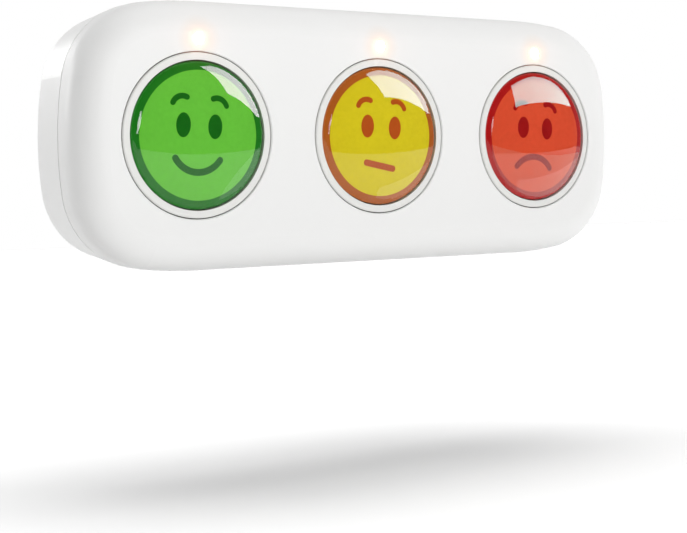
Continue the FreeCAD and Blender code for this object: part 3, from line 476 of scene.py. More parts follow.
panels = {
    "softbox": {"reach": 0.50, "bulge": 1.2, "slide": -0.9, "green": {
        "glow": (13.6, 8.3, 13.0), "rimGlow": (12.0, 9.6, 12.0), "outer": ((1.0, 24.8), (25.5, 6.6)),
        "inner": (((1.0, 24.7), (6.8, 21.0), (11.2, 15.1)), ((11.2, 15.1), (17.9, 11.9), (24.6, 6.8))),
    }, "yellow": {
        "glow": (6.6, 7.6, 12.6), "rimGlow": (6.4, 9.2, 9.6), "outer": ((-6.8, 24.2), (23.2, 9.0)),
        "inner": (((-6.8, 24.1), (-2.9, 20.2), (0.8, 15.0)), ((0.8, 15.0), (12.2, 13.6), (23.0, 9.0))),
    }, "red": {
        "glow": (3.2, 10.7, 10.6), "rimGlow": (5.2, 9.4, 9.2), "outer": ((-12.9, 21.2), (18.9, 12.9)),
        "inner": (((-12.9, 21.1), (-12.4, 16.8), (-12.1, 12.1)), ((-12.1, 12.1), (3.4, 14.3), (18.7, 12.8))),
    }},
    "streak": {"reach": 0.80, "bulge": -0.6, "green": {
        "glow": (12.0, 11.0, 12.0), "outer": ((-23.3, 8.9), (-24.9, 0.2)), "bulge": -1.0,
        "inner": (((-23.3, 9.0), (-24.5, 4.6), (-24.9, 0.1)),),
    }, "yellow": {"glow": (8.0, 8.0, 10.0), **streakSides}, "red": {"glow": (8.0, 9.0, 9.0), **streakSides}},
    "lowCard": {"reach": 0.12, "bulge": 0.6, "green": {
        "glow": (0.9, 0.9, 0.9), "outer": ((7.6, -23.4), (24.8, -4.6)),
        "inner": (((7.6, -22.8), (14.0, -13.9), (24.6, -4.6)),),
    }, "yellow": {
        "glow": (0.9, 0.9, 0.9), "outer": ((-3.2, -24.4), (23.0, -10.0)),
        "inner": (((-3.2, -23.8), (-2.9, -22.0), (-2.3, -20.4)),
                  ((-2.3, -20.4), (12.0, -15.7), (22.6, -10.6))),
    }, "red": {
        "glow": (0.7, 0.9, 0.9), "outer": ((-11.5, -22.4), (23.2, -9.0)),
        "inner": (((-11.3, -21.8), (-11.5, -20.0), (-11.6, -18.3)),
                  ((-11.6, -18.3), (6.4, -15.8), (22.8, -9.2))),
    }},
    "veilCard": {"reach": 0.12, "bulge": 0.5, "red": {
        "glow": (0.02, 0.9, 0.76), "outer": ((-24.8, -4.0), (24.4, -7.6)),
        "inner": (((-24.4, -3.6), (-1.0, -7.9), (24.2, -6.8)),),
    }},
}

bowPoints = 12
panelLimit = 25.6             # as far out as a panel goes on its lens
printRadius, printShift = 23.4, -0.9      # the disc's edge as the lens shows it


def mirrorPoint(colour, x, z, reach):
    # where the camera's ray ends that meets the lens at this point of its outline
    radius, edgeRound = lens["radius"], lens["edgeRound"]
    crown, middle, turn = domeShape()
    out = math.hypot(x, z)
    if out <= crown * math.sin(turn):
        depth, lean = middle - math.sqrt(crown * crown - out * out), out / crown
    else:
        lean = (out - radius + edgeRound) / edgeRound
        depth = middle - (crown - edgeRound) * math.cos(turn) - edgeRound * math.sqrt(1 - lean * lean)
    normal = Vector((x / out * lean, -math.sqrt(1 - lean * lean), z / out * lean))
    point = Vector((buttons[colour]["x"] + x, depth, z))
    sight = (point - Vector(cameraView["position"])).normalized()
    return point + sight.reflect(normal) * reach


def bowThrough(points):
    # a smooth bow through three points
    way = []
    for place in range(bowPoints):
        share = place / (bowPoints - 1)
        pulls = ((1 - share) * (1 - 2 * share), 4 * share * (1 - share), share * (2 * share - 1))
        way.append(tuple(sum(pull * part for pull, part in zip(pulls, parts)) for parts in zip(*points)))
    return way


def arcBetween(first, last, count, bulge):
    # points along the lens's edge, one for each point of the other side
    start, end = (math.atan2(z, x) for x, z in (first, last))
    near, far = math.hypot(*first), math.hypot(*last)
    points = []
    for place in range(count):
        share = place / (count - 1)
        out = min(near + (far - near) * share + bulge * 4 * share * (1 - share), panelLimit)
        angle = start + (end - start) * share
        points.append((out * math.cos(angle), out * math.sin(angle)))
    return points


def crossing(near, far):
    # where the way between two points of a lens passes over the edge of the print below
    start = Vector(near) - Vector((printShift, 0))
    run = Vector(far) - Vector(near)
    short = start.length_squared - printRadius * printRadius
    if short >= 0:
        return near
    along, size = start.dot(run), run.length_squared
    share = min((math.sqrt(along * along - size * short) - along) / size, 1)
    return tuple(Vector(near) + run * share)


def panelStrips(facts, outline):
    # the two sides of each strip, inner first: one strip, or two that meet over the print's edge
    inner = []
    for points in outline["inner"]:
        inner += bowThrough(points)[1 if inner else 0:]
    outer = arcBetween(*outline["outer"], len(inner), outline.get("bulge", facts["bulge"]))
    inner = [(x + facts.get("slide", 0), z) for x, z in inner]
    if "rimGlow" not in outline:
        return [(inner, outer)]
    border = [crossing(*pair) for pair in zip(inner, outer)]
    return [(inner, border), (border, outer)]


def panelGlow(name, glow):
    # adds light and hides nothing behind it
    finish = startFinish(name)
    shine, clear, both = finish.new("Emission"), finish.new("BsdfTransparent"), finish.new("AddShader")
    shine.inputs["Color"].default_value = shaded(glow, 1 / max(glow))
    shine.inputs["Strength"].default_value = max(glow)
    for part, socket in zip((shine, clear), both.inputs):
        finish.fill(socket, part.outputs[0])
    finish.show(both.outputs[0])
    return finish


def hangPanel(name, colour, targets):
    facts = panels[name]
    outline = facts[colour]
    bm = bmesh.new()
    for count, strip in enumerate(panelStrips(facts, outline)):
        edges = []
        for side in strip:
            row = [bm.verts.new(mirrorPoint(colour, x * mm, z * mm, facts["reach"])) for x, z in side]
            edges += [bm.edges.new(pair) for pair in zip(row, row[1:])]
        for face in bmesh.ops.bridge_loops(bm, edges=edges)["faces"]:
            face.material_index = count
    glows = [outline[part] for part in ("glow", "rimGlow") if part in outline]
    finishes = [panelGlow(f"{name}Glow{count}_{colour}", glow) for count, glow in enumerate(glows)]
    panel = finishPiece(f"{name}_{colour}", bm, finishes)
    panel.visible_camera = panel.visible_diffuse = panel.visible_shadow = False
    panel.visible_transmission = False
    panel.light_linking.receiver_collection = targets[colour]


def lightStudio():
    makeRoom()
    targets = groupTargets(layFloor())
    for name, facts in panels.items():
        for colour in buttons:
            if colour in facts:
                hangPanel(name, colour, targets)
    lightTable(targets)
    for name, facts in lamps.items():
        addLamp(name, facts, targets)


# the case and its rings

caseFinish = {
    "shell": tone(244, 244, 243),
    "shellGloss": 0.50,
    "shellGrain": 0.0006,
    "coat": 0.2,
    "coatGloss": 0.25,
    # painted glow of the lit indicator lamps on the case round them, with its reach below
    "lit": tone(240, 233, 224),
    "glowPaintReach": 9 * mm,
    "ring": tone(234, 234, 231),
    "ringGloss": 0.25,
    "ringGrain": 0.0003,
}


def paintGlowRoundLamps(finish, colour, reach):
    # paints the glow of each lit pipe onto what lies round it: painted light in the surface's colour
    place = finish.place()
    joined = finish.new("CombineXYZ")
    finish.fill(joined.inputs["X"], finish.reckon("PINGPONG", finish.axis(place, "X"), buttonPitch / 2))
    finish.fill(joined.inputs["Z"], finish.axis(place, "Z"))
    away = finish.awayFrom(joined.outputs[0], 0, indicator["z"])
    finish.overlay(finish.fade(away, reach * 0.2, reach), colour)


def shellFinish(name):
    finish = mouldedPlastic(name, caseFinish["shell"], caseFinish["shellGloss"],
                            grain=caseFinish["shellGrain"], variation=0.012)
    finish.give("Coat Weight", caseFinish["coat"])
    finish.give("Coat Roughness", caseFinish["coatGloss"])
    return finish


def finishCase():
    # two copies of one shell finish; the front cover's copy carries the painted lamp glow
    shell, front = shellFinish("satinShell"), shellFinish("glowPaintedShell")
    paintGlowRoundLamps(front, caseFinish["lit"], caseFinish["glowPaintReach"])
    ring = mouldedPlastic("glossRing", caseFinish["ring"], caseFinish["ringGloss"],
                          grain=caseFinish["ringGrain"], variation=0.01)
    wear("front_cover", front)
    wear("rear_cover", shell)
    wear("battery_door", shell)
    for colour in buttons:
        wear(f"bezel_ring_{colour}", ring)


# dark rings set in the gap round each ring as painted shade, drawn as rubber seals

gapShadeRing = {
    "inner": 30.0 * mm,
    "outer": 30.4 * mm,
    "front": -43.4 * mm,
    "back": -42.7 * mm,
    "steps": 160,
    # dark, to paint the shade in the gap
    "colour": tone(52, 50, 48),
    # painted glow of the lit indicator lamps on the part of the ring near them
    "lit": tone(176, 120, 100),
    "glowPaintReach": 11 * mm,
    "smooth": 40,
}


def shadeGapRings():
    # dark rubber that paints the gap's shade
    rubber = mouldedPlastic("gapShadeRubber", gapShadeRing["colour"], rough=0.6, variation=0.1)
    # paints the lamps' glow onto the dark rings near them
    paintGlowRoundLamps(rubber, gapShadeRing["lit"], gapShadeRing["glowPaintReach"])
    for colour, facts in buttons.items():
        bm = bmesh.new()
        flatRing(bm, gapShadeRing["inner"], gapShadeRing["outer"], gapShadeRing["front"], gapShadeRing["steps"])
        thicken(bm, gapShadeRing["back"] - gapShadeRing["front"])
        seal = finishRound(f"gapShadeRing_{colour}", bm, rubber, facts["x"], gapShadeRing["smooth"])
        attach(seal, "housing")


# the buttons; faces are drawn in millimetres from the middle of their disc

buttons = {
    "green": {"x": -buttonPitch, "disc": tone(91, 170, 50), "rim": tone(12, 98, 12), "mark": tone(0, 84, 0),
              "mouth": ((-8.8, -8.5), (0.0, -13.2), (8.8, -8.5)), "slip": -0.48},
    "yellow": {"x": 0.0, "disc": tone(188, 173, 18), "rim": tone(150, 76, 20), "mark": tone(156, 66, 8),
               "mouth": ((-6.0, -10.6), (6.2, -12.4)), "slip": -0.6},
    "red": {"x": buttonPitch, "disc": tone(193, 68, 38), "rim": tone(152, 10, 11), "mark": tone(136, 0, 2),
            "mouth": ((-8.7, -12.8), (0.0, -8.5), (8.7, -12.8)), "slip": -1.2},
}

facePrint = {
    "front": -43.5 * mm,      # the insert's front face
    "ink": 0.04 * mm,
    "discRadius": 23.4 * mm,
    "rimRadius": 26.7 * mm,
    "turn": 3,                # the faces sit a touch clockwise
    "eyes": ((-6.25, 3.3), (6.25, 3.3)),
    "eyeSize": (5.65, 8.75),
    "brows": (((-10.6, 11.0), (-7.9, 13.4), (-5.2, 13.2)), ((5.2, 13.2), (7.9, 13.4), (10.6, 11.0))),
    "browWidth": 2.1,
    "mouthWidth": 2.5,
    "roundSteps": 160,
    "eyeSteps": 48,
    "strokeSteps": 20,
    "endSteps": 10,
    "weld": 1e-4,
    "sliver": 1e-5,
}


def circleCentre(first, middle, last):
    # of the circle through three points
    (ax, az), (bx, bz), (cx, cz) = first, middle, last
    a, b, c = (x * x + z * z for x, z in (first, middle, last))
    scale = 2 * (ax * (bz - cz) + bx * (cz - az) + cx * (az - bz))
    return ((a * (bz - cz) + b * (cz - az) + c * (az - bz)) / scale,
            (a * (cx - bx) + b * (ax - cx) + c * (bx - ax)) / scale)


def roundEnd(bm, centre, edgePoint, sign):
    # half a disc that closes a stroke
    ends = [bm.verts.new((x, 0, z)) for x, z in (centre, edgePoint)]
    bmesh.ops.spin(bm, geom=ends + [bm.edges.new(ends)], cent=(centre[0], 0, centre[1]), axis=(0, 1, 0),
                   angle=sign * math.pi, steps=facePrint["endSteps"])


def straightStroke(bm, points, width):
    # a line of even width with round ends
    start, end = (Vector((x, 0, z)) for x, z in points)
    along = (end - start).normalized()
    side = Vector((-along.z, 0, along.x)) * width / 2
    rail = [bm.verts.new(start + offset) for offset in (side, Vector(), -side)]
    grown = bmesh.ops.extrude_edge_only(bm, edges=[bm.edges.new(pair) for pair in zip(rail, rail[1:])])
    bmesh.ops.translate(bm, vec=end - start, verts=vertsOf(grown["geom"]))
    for tip, sign in ((start, -1), (end, 1)):
        roundEnd(bm, tip.xz, (tip + side).xz, sign)


def bowedStroke(bm, points, width):
    # the same line, bowed through three points
    cx, cz = circleCentre(*points)
    first, last = (math.atan2(z - cz, x - cx) for x, z in (points[0], points[2]))
    radius = math.hypot(points[0][0] - cx, points[0][1] - cz)
    turn = (last - first + math.pi) % (2 * math.pi) - math.pi

    def at(angle, step):
        return cx + (radius + step) * math.cos(angle), cz + (radius + step) * math.sin(angle)

    half = width / 2
    rail = [bm.verts.new((x, 0, z)) for x, z in (at(first, step) for step in (-half, 0, half))]
    edges = [bm.edges.new(pair) for pair in zip(rail, rail[1:])]
    bmesh.ops.spin(bm, geom=rail + edges, cent=(cx, 0, cz), axis=(0, -1, 0), angle=turn,
                   steps=facePrint["strokeSteps"])
    for angle, sign in ((first, -1), (last, 1)):
        roundEnd(bm, at(angle, 0), at(angle, half), sign * (1 if turn < 0 else -1))


def stroke(bm, points, width):
    draw = straightStroke if len(points) == 2 else bowedStroke
    draw(bm, points, width)


def eye(bm, centre):
    wide, high = facePrint["eyeSize"]
    verts = uprightDisc(bm, 0.5, facePrint["eyeSteps"])
    bmesh.ops.scale(bm, vec=(wide, 1, high), verts=verts)
    bmesh.ops.translate(bm, vec=(centre[0], 0, centre[1]), verts=verts)


def layInk(name, colour, bm, x, layer, ink):
    # thickens flat ink and puts it on the insert, under the lens
    bmesh.ops.remove_doubles(bm, verts=bm.verts, dist=facePrint["weld"])
    bmesh.ops.dissolve_degenerate(bm, dist=facePrint["sliver"], edges=bm.edges)
    thicken(bm, -facePrint["ink"] / mm)
    bmesh.ops.scale(bm, vec=(mm, mm, mm), verts=bm.verts)
    bmesh.ops.translate(bm, vec=(x, facePrint["front"] - layer * facePrint["ink"], 0), verts=bm.verts)
    faceOutwards(bm)
    piece = finishPiece(f"{name}_{colour}", bm, [ink])
    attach(piece, f"button_{colour}")


def printFace(colour, facts):
    discRadius, rimRadius = facePrint["discRadius"] / mm, facePrint["rimRadius"] / mm
    steps = facePrint["roundSteps"]
    bm = bmesh.new()
    uprightDisc(bm, discRadius, steps)
    layInk("discPrint", colour, bm, facts["x"], 0, printedInk(f"discInk_{colour}", facts["disc"]))

    bm = bmesh.new()
    flatRing(bm, discRadius, rimRadius, 0, steps)
    layInk("rimPrint", colour, bm, facts["x"], 0, printedInk(f"rimInk_{colour}", facts["rim"]))

    bm = bmesh.new()
    for centre in facePrint["eyes"]:
        eye(bm, centre)
    for points in facePrint["brows"]:
        stroke(bm, points, facePrint["browWidth"])
    stroke(bm, facts["mouth"], facePrint["mouthWidth"])
    turn = Matrix.Rotation(math.radians(facePrint["turn"]), 3, "Y")
    bmesh.ops.rotate(bm, matrix=turn, verts=bm.verts)
    x = facts["x"] + facts["slip"] * mm      # as the print sits on its disc
    layInk("faceMarks", colour, bm, x, 1, printedInk(f"markInk_{colour}", facts["mark"]))


def printedInk(name, colour):
    # screen-printed ink: a faint mottle and a soft sheen
    finish = startFinish(name)
    mottle = finish.cloud(finish.place(), scale=700, detail=4)
    lighter = tuple(min(part * 1.08 + 0.002, 1) for part in colour[:3]) + (1,)
    finish.give("Base Color", finish.mix(finish.spread(mottle, 0, 1), colour, lighter))
    finish.give("Roughness", finish.spread(mottle, low=0.42, high=0.55))
    finish.bump(mottle, depth=0.004 * mm, strength=0.5)
    finish.give("Specular IOR Level", 0.08)      # bonded under the lens, so nearly no gloss of its own
    return finish


lens = {
    "radius": 27 * mm,
    "rise": 4.5 * mm,
    "edgeRound": 2.6 * mm,
    "skirt": 3 * mm,
    "wall": 2 * mm,
    "recess": 1 * mm,
    "face": caseFront,
    "domeSteps": 96,
    "roundSteps": 14,
    "turnSteps": 224,
    "weld": 1e-6,
    "smooth": 50,
    "tint": (0.985, 0.99, 0.985, 1),
    "shadowTint": (0.97, 0.98, 0.97, 1),
    "ior": 1.49,
    "wave": 0.01 * mm,
}


def clearDome():
    # polished acrylic that bends light, and lets the lamps through to the print
    finish = startFinish("clearAcrylic")
    place = finish.place()
    finish.give("Base Color", lens["tint"])
    finish.give("Transmission Weight", 1)
    finish.give("IOR", lens["ior"])
    finish.give("Roughness", finish.spread(finish.cloud(place, scale=90), low=0, high=0.02))
    finish.bump(finish.cloud(place, scale=45, detail=1), lens["wave"], strength=0.3)
    window = finish.new("BsdfTransparent")
    window.inputs["Color"].default_value = lens["shadowTint"]
    shadow = finish.new("LightPath").outputs["Is Shadow Ray"]
    both = finish.mixShaders(shadow, finish.surface.outputs[0], window.outputs[0])
    finish.show(both)
    return finish


def domeShape():
    # the crown's radius and middle, and the angle at which the edge round takes over
    radius, rise, edgeRound = lens["radius"], lens["rise"], lens["edgeRound"]
    crown = (radius * radius + rise * rise) / (2 * rise)
    return crown, lens["face"] - rise + crown, math.asin((radius - edgeRound) / (crown - edgeRound))


def sweepOn(bm, vert, centre, angle, steps):
    # swings the end of a profile round a centre and gives back its new end
    swept = bmesh.ops.spin(bm, geom=[vert], cent=(*centre, 0), axis=(0, 0, 1), angle=angle, steps=steps)
    return vertsOf(swept["geom_last"])[0]


def growLens(colour, facts, acrylic):
    # the same lens as the solid one, spun finely enough for clean reflections
    radius, edgeRound, face = lens["radius"], lens["edgeRound"], lens["face"]
    crown, middle, turn = domeShape()
    bm = bmesh.new()
    apex = bm.verts.new((0, face - lens["rise"], 0))
    last = sweepOn(bm, apex, (0, middle), turn, lens["domeSteps"])
    roundCentre = (radius - edgeRound, middle - (crown - edgeRound) * math.cos(turn))
    last = sweepOn(bm, last, roundCentre, math.pi / 2 - turn, lens["roundSteps"])
    inside = radius - lens["wall"]
    for reach, depth in ((radius, lens["skirt"]), (inside, lens["skirt"]), (inside, lens["recess"]),
                         (0, lens["recess"])):
        following = bm.verts.new((reach, face + depth, 0))
        bm.edges.new((last, following))
        last = following
    turnRound(bm, bm.verts[:] + bm.edges[:], lens["turnSteps"])
    bmesh.ops.remove_doubles(bm, verts=bm.verts, dist=lens["weld"])
    piece = finishRound(f"crystalLens_{colour}", bm, acrylic, facts["x"], lens["smooth"])
    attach(piece, f"button_{colour}")
    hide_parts(f"dome_lens_{colour}")


def finishButtons():
    acrylic = clearDome()
    for colour, facts in buttons.items():
        growLens(colour, facts, acrylic)
        wear(f"face_insert_{colour}", printedInk(f"disc_{colour}", facts["disc"]))
        wear(f"plunger_{colour}", mouldedPlastic(f"plungerSkin_{colour}", facts["rim"], rough=0.35))
        printFace(colour, facts)
        print("button", colour, "finished")


# the indicator lamps

indicator = {
    "z": 35 * mm,
    "tip": -44.2 * mm,        # in front of this depth the pipe glows
    "fade": 0.4 * mm,
    "tint": (0.95, 0.93, 0.9, 1),
    "ior": 1.49,
    "glow": (1.0, 0.62, 0.42, 1),
    "strengths": (30, 0.2),   # at the tip, and inside
    "haloHeight": 4.0 * mm,
    "haloSize": 1.5 * mm,
    "haloWatts": 0.00020,
    "haloTint": (1.0, 0.42, 0.22),
}

bloom = {"Threshold": 6.0, "Strength": 0.18, "Size": 0.35, "Tint": (1.0, 0.66, 0.46, 1)}


def glowingPipe():
    finish = startFinish("glowingPipe")
    finish.give("Base Color", indicator["tint"])
    finish.give("Transmission Weight", 0.8)
    finish.give("IOR", indicator["ior"])
    finish.give("Roughness", 0.08)
    finish.give("Emission Color", indicator["glow"])
    depth, tip = finish.axis(finish.place(), "Y"), indicator["tip"]
    lit = finish.spread(depth, *indicator["strengths"], start=tip, end=tip + indicator["fade"])
    finish.give("Emission Strength", lit)
    return finish


def lightIndicators():
    pipe = glowingPipe()
    for colour, facts in buttons.items():
        wear(f"light_pipe_{colour}", pipe)
        data = bpy.data.lights.new(f"halo_{colour}", "POINT")
        data.energy = indicator["haloWatts"]
        data.color = indicator["haloTint"]
        data.shadow_soft_size = indicator["haloSize"]
        halo = addThing(f"halo_{colour}", data)
        halo.location = (facts["x"], caseFront - indicator["haloHeight"], indicator["z"])
        halo.visible_camera = halo.visible_glossy = False


def addBloom():
    # the small glow that a lens puts round the lit lamps
    scene = bpy.context.scene
    scene.use_nodes = True
    nodes, links = scene.node_tree.nodes, scene.node_tree.links
    nodes.clear()
    layers, glare, result = (nodes.new(f"CompositorNode{kind}") for kind in ("RLayers", "Glare", "Composite"))
    glare.glare_type = "BLOOM"
    glare.quality = "HIGH"
    for name, value in bloom.items():
        glare.inputs[name].default_value = value
    links.new(layers.outputs["Image"], glare.inputs["Image"])
    links.new(glare.outputs["Image"], result.inputs["Image"])


# what lies inside and behind

hidden = {
    "guide": tone(120, 122, 125),
    "flow": tone(142, 144, 146),
    "rubber": tone(40, 40, 42),
    "talc": tone(120, 120, 118),
    "black": tone(30, 30, 32),
    "dimple": tone(62, 62, 64),
    "fibre": tone(70, 70, 72),
    "lacquer": tone(14, 84, 46),
    "track": tone(38, 122, 70),
    "sleeve": tone(28, 44, 88),
    "tin": (0.70, 0.70, 0.68, 1),
    "steel": (0.62, 0.62, 0.61, 1),
    "passivation": (0.66, 0.60, 0.44, 1),
    "oil": (0.46, 0.44, 0.40, 1),
    "nickel": (0.72, 0.69, 0.63, 1),
    "dullNickel": (0.58, 0.55, 0.49, 1),
    "zinc": (0.50, 0.515, 0.53, 1),
    "zincBloom": (0.62, 0.62, 0.61, 1),
    "gold": tone(206, 160, 76),
    "wrap": tone(34, 38, 46),
    "wrapBand": tone(178, 92, 44),
    "nylon": tone(225, 222, 210),
    "ceramic": tone(222, 216, 202),
    "lampBody": tone(240, 238, 230),
    "phosphor": tone(242, 196, 84),
}

# lines are given as pitch and width, bands as middle and half width
board = {
    "tracks": (("X", 1.9 * mm, 62), ("Z", 2.3 * mm, 47)),      # axis, pitch, scale of their patches
    "trackWidth": 0.45 * mm,
    "trackHeight": 0.035 * mm,
    "holePitch": 5.2 * mm,
    "holeRadii": (0.45 * mm, 0.2 * mm),
    "holeJitter": 0.9,
    "dimple": (-43.6 * mm, -0.4 * mm),
    "dimpleEdge": (0.42 * mm, 0.5 * mm),
    "dimpleDepth": 0.05 * mm,
    "feet": (0.8 * mm, 0.36 * mm),
    "feetBand": (-24.5 * mm, 0.3 * mm),
    "chipSoft": 0.1 * mm,
    "sleeveFrom": -23.5 * mm,
    "tinFrom": -16.4 * mm,
    "ventDepth": 0.1 * mm,
    "folds": (2.4 * mm, 1.0 * mm),
    "foldBand": (28 * mm, 2.2 * mm),
    "antennaEnds": (66.5 * mm, 101.5 * mm),
    "antennaEndHalf": 1.4 * mm,
    "dishEdge": (0.95 * mm, 1.05 * mm),
    "dishDepth": 0.08 * mm,
}

# each cell's row is where its minus end stands and which way it points
cells = {
    "rows": {1: (-49.0 * mm, 1), 2: (1.5 * mm, 1), 3: (49.0 * mm, -1), 4: (-1.5 * mm, -1)},
    "copper": (38.525 * mm, 0.025 * mm),      # where it starts and how softly
    "ring": (37.9 * mm, 0.3 * mm),
    "crimp": (46.3 * mm, 0.35 * mm, 0.25 * mm),
    "crimpDepth": 0.15 * mm,
    "sleeve": (0.35 * mm, 49.25 * mm),
}

spangle = {
    "bendScale": 240,
    "bend": 2.4 * mm,
    "crystalScale": 170,
    "shades": ((0.0, 0.35, 0.90), (0.65, 1.0, 1.08)),      # from, to and share of the plain zinc
    "shadeSoft": 0.02,
}


def boardLacquer():
    # solder lacquer over copper tracks, with tinned holes whose black centres are painted shade inside the
    # holes
    finish = mouldedPlastic("boardLacquer", hidden["lacquer"], rough=0.3,
                            grain=0.003, variation=0.2, grainScale=1500)
    place = finish.place()
    for axis, pitch, scale in board["tracks"]:
        patch = finish.patches(place, scale, start=0.50, end=0.52, detail=0)
        track = finish.both(finish.lines(place, axis, pitch, board["trackWidth"]), patch)
        finish.overlay(track, hidden["track"])
        finish.bump(track, board["trackHeight"])
    tinned, drilledHoleShade = (finish.dots(place, board["holePitch"], radius, board["holeJitter"])
                       for radius in board["holeRadii"])
    finish.overlay(tinned, hidden["tin"], metallic=1)
    # black centres: painted shade inside the holes
    finish.overlay(drilledHoleShade, hidden["black"])
    return finish


def chipEpoxy():
    # a filled epoxy body with its first-pin dimple and tinned feet along the board
    finish = mouldedPlastic("chipEpoxy", hidden["black"], rough=0.5,
                            grain=0.006, variation=0.2, grainScale=4200)
    place = finish.place()
    dimple = finish.fade(finish.awayFrom(place, *board["dimple"]), *board["dimpleEdge"])
    finish.overlay(dimple, hidden["dimple"])
    finish.bump(dimple, -board["dimpleDepth"])
    low = finish.within(finish.axis(place, "Y"), *board["feetBand"])
    for axis in ("X", "Z"):
        foot = finish.both(finish.lines(place, axis, *board["feet"]), low)
        finish.overlay(foot, hidden["tin"], metallic=0.9)
    return finish


def smallChips():
    # resistors are dark with tinned ends, the two capacitors behind the board are sleeved
    finish = mouldedPlastic("smallChips", hidden["black"], rough=0.4, variation=0.15)
    depth = finish.axis(finish.place(), "Y")
    finish.overlay(finish.past(depth, board["sleeveFrom"], board["chipSoft"]), hidden["sleeve"])
    finish.overlay(finish.past(depth, board["tinFrom"], board["chipSoft"]), hidden["tin"], metallic=1)
    return finish


def shieldCan(name, pitch, radius):
    # a tinned can with rows of vent holes, painted dark for the shade inside them
    finish = sheetMetal(name, hidden["tin"], rough=0.3, stretch=(1, 1, 6))
    vents = finish.dots(finish.place(), pitch, radius)
    # the vents are painted dark as the shade inside the holes; the bump sinks them
    finish.overlay(vents, hidden["black"], metallic=0.2)
    finish.bump(vents, -board["ventDepth"])
    return finish


def antennaCeramic():
    # pale ceramic with a folded printed conductor and silvered ends
    finish = mouldedPlastic("antennaCeramic", hidden["ceramic"], rough=0.35, grain=0.003, variation=0.05)
    place = finish.place()
    middle = finish.within(finish.axis(place, "Z"), *board["foldBand"])
    folds = finish.both(finish.lines(place, "X", *board["folds"]), middle)
    ends = [finish.within(finish.axis(place, "X"), x, board["antennaEndHalf"]) for x in board["antennaEnds"]]
    for pattern, colour in ((folds, hidden["gold"]), (ends[0], hidden["tin"]), (ends[1], hidden["tin"])):
        finish.overlay(pattern, colour, metallic=1)
    return finish


def lampChip(colour, facts):
    # a white lamp body with its yellow phosphor dish
    finish = mouldedPlastic(f"lampChip_{colour}", hidden["lampBody"], rough=0.3, grain=0.002, variation=0.04)
    dish = finish.fade(finish.awayFrom(finish.place(), facts["x"], indicator["z"]), *board["dishEdge"])
    finish.overlay(dish, hidden["phosphor"])
    finish.bump(dish, -board["dishDepth"])
    return finish


def cellWrap(count):
    # a shrink sleeve with a copper band at the plus end, folded over bare steel ends
    start, way = cells["rows"][count]
    finish = mouldedPlastic(f"cellWrap_{count}", hidden["wrap"], rough=0.26,
                            grain=0.002, variation=0.12, grainScale=900)
    along = finish.reckon("MULTIPLY", finish.reckon("SUBTRACT", finish.axis(finish.place(), "X"), start), way)
    finish.overlay(finish.past(along, *cells["copper"]), hidden["wrapBand"])
    finish.overlay(finish.within(along, *cells["ring"]), hidden["nylon"])
    finish.bump(finish.within(along, *cells["crimp"]), -cells["crimpDepth"])
    low, high = cells["sleeve"]
    bare = finish.reckon("SUBTRACT", 1, finish.within(along, (low + high) / 2, (high - low) / 2))
    finish.overlay(bare, hidden["nickel"], metallic=1)
    return finish


def spangledZinc():
    # hot-dipped steel: crystals of slightly different grey, each brushed its own way
    finish = sheetMetal("spangledZinc", hidden["zinc"], rough=0.34, stretch=(1, 1, 5), scale=700)
    place = finish.place()
    noise = finish.texture("TexNoise", place, scale=spangle["bendScale"])["Color"]
    bent = finish.new("VectorMath")
    bent.operation = "MULTIPLY_ADD"
    for socket, value in zip(bent.inputs, (noise, [spangle["bend"]] * 3, place)):
        finish.fill(socket, value)
    crystals = finish.texture("TexVoronoi", bent.outputs[0], scale=spangle["crystalScale"])["Color"]
    grain = finish.axis(crystals, "X")
    for low, high, share in spangle["shades"]:
        picked = finish.within(grain, (low + high) / 2, (high - low) / 2, spangle["shadeSoft"])
        finish.overlay(picked, shaded(hidden["zinc"], share))
    finish.give("Roughness", finish.spread(grain, low=0.30, high=0.44, start=0, end=1))
    bloomed = finish.patches(place, scale=36, start=0.60, end=0.72, most=0.55, detail=6, roughness=0.7)
    finish.overlay(bloomed, hidden["zincBloom"], metallic=0.4)
    return finish


def platedScrew():
    # bright zinc with a faint yellow passivation and turning marks
    finish = sheetMetal("zincScrew", hidden["steel"], rough=0.26,
                        stretch=(1, 14, 1), scratch=0.003, scale=1300)
    place = finish.place()
    yellowed = finish.patches(place, scale=210, start=0.45, end=0.65, most=0.6, detail=4)
    finish.overlay(yellowed, hidden["passivation"])
    finish.bump(finish.lines(place, "Y", pitch=0.5 * mm, wide=0.22 * mm), depth=0.01 * mm)
    return finish


def springWire():
    # drawn wire with die lines and a film of oil
    finish = sheetMetal("springWire", hidden["steel"], rough=0.2, stretch=(5, 1, 5), scale=1600)
    film = finish.patches(finish.place(), scale=330, start=0.42, end=0.62, most=0.5, detail=4)
    finish.overlay(film, hidden["oil"])
    finish.overlayValue("Roughness", film, amount=0.36)
    return finish


def nickelStrip():
    # pressed strip: rolled grain, dull shear bands and a few handling scratches
    finish = sheetMetal("nickelStrip", hidden["nickel"], rough=0.24, stretch=(1, 1, 9), scale=1100)
    dull = finish.patches(finish.place(), scale=130, start=0.48, end=0.62, most=0.7, detail=5, roughness=0.7)
    finish.overlay(dull, hidden["dullNickel"])
    scratch = finish.lines(finish.place((1, 1, 0.35)), "Z", pitch=1.7 * mm, wide=0.05 * mm)
    finish.overlayValue("Roughness", scratch, amount=0.5)
    return finish


def guideNylon():
    # glass-filled nylon with ejector marks and flow streaks
    finish = mouldedPlastic("guideNylon", hidden["guide"], rough=0.45, variation=0.06)
    flow = finish.patches(finish.place((1, 6, 1)), scale=120, start=0.5, end=0.75,
                          most=0.35, detail=5, roughness=0.7)
    finish.overlay(flow, hidden["flow"])
    marks = finish.dots(finish.place(), pitch=16 * mm, radius=1.3 * mm)
    finish.bump(marks, depth=-0.06 * mm)
    finish.overlayValue("Roughness", marks, amount=0.3)
    return finish


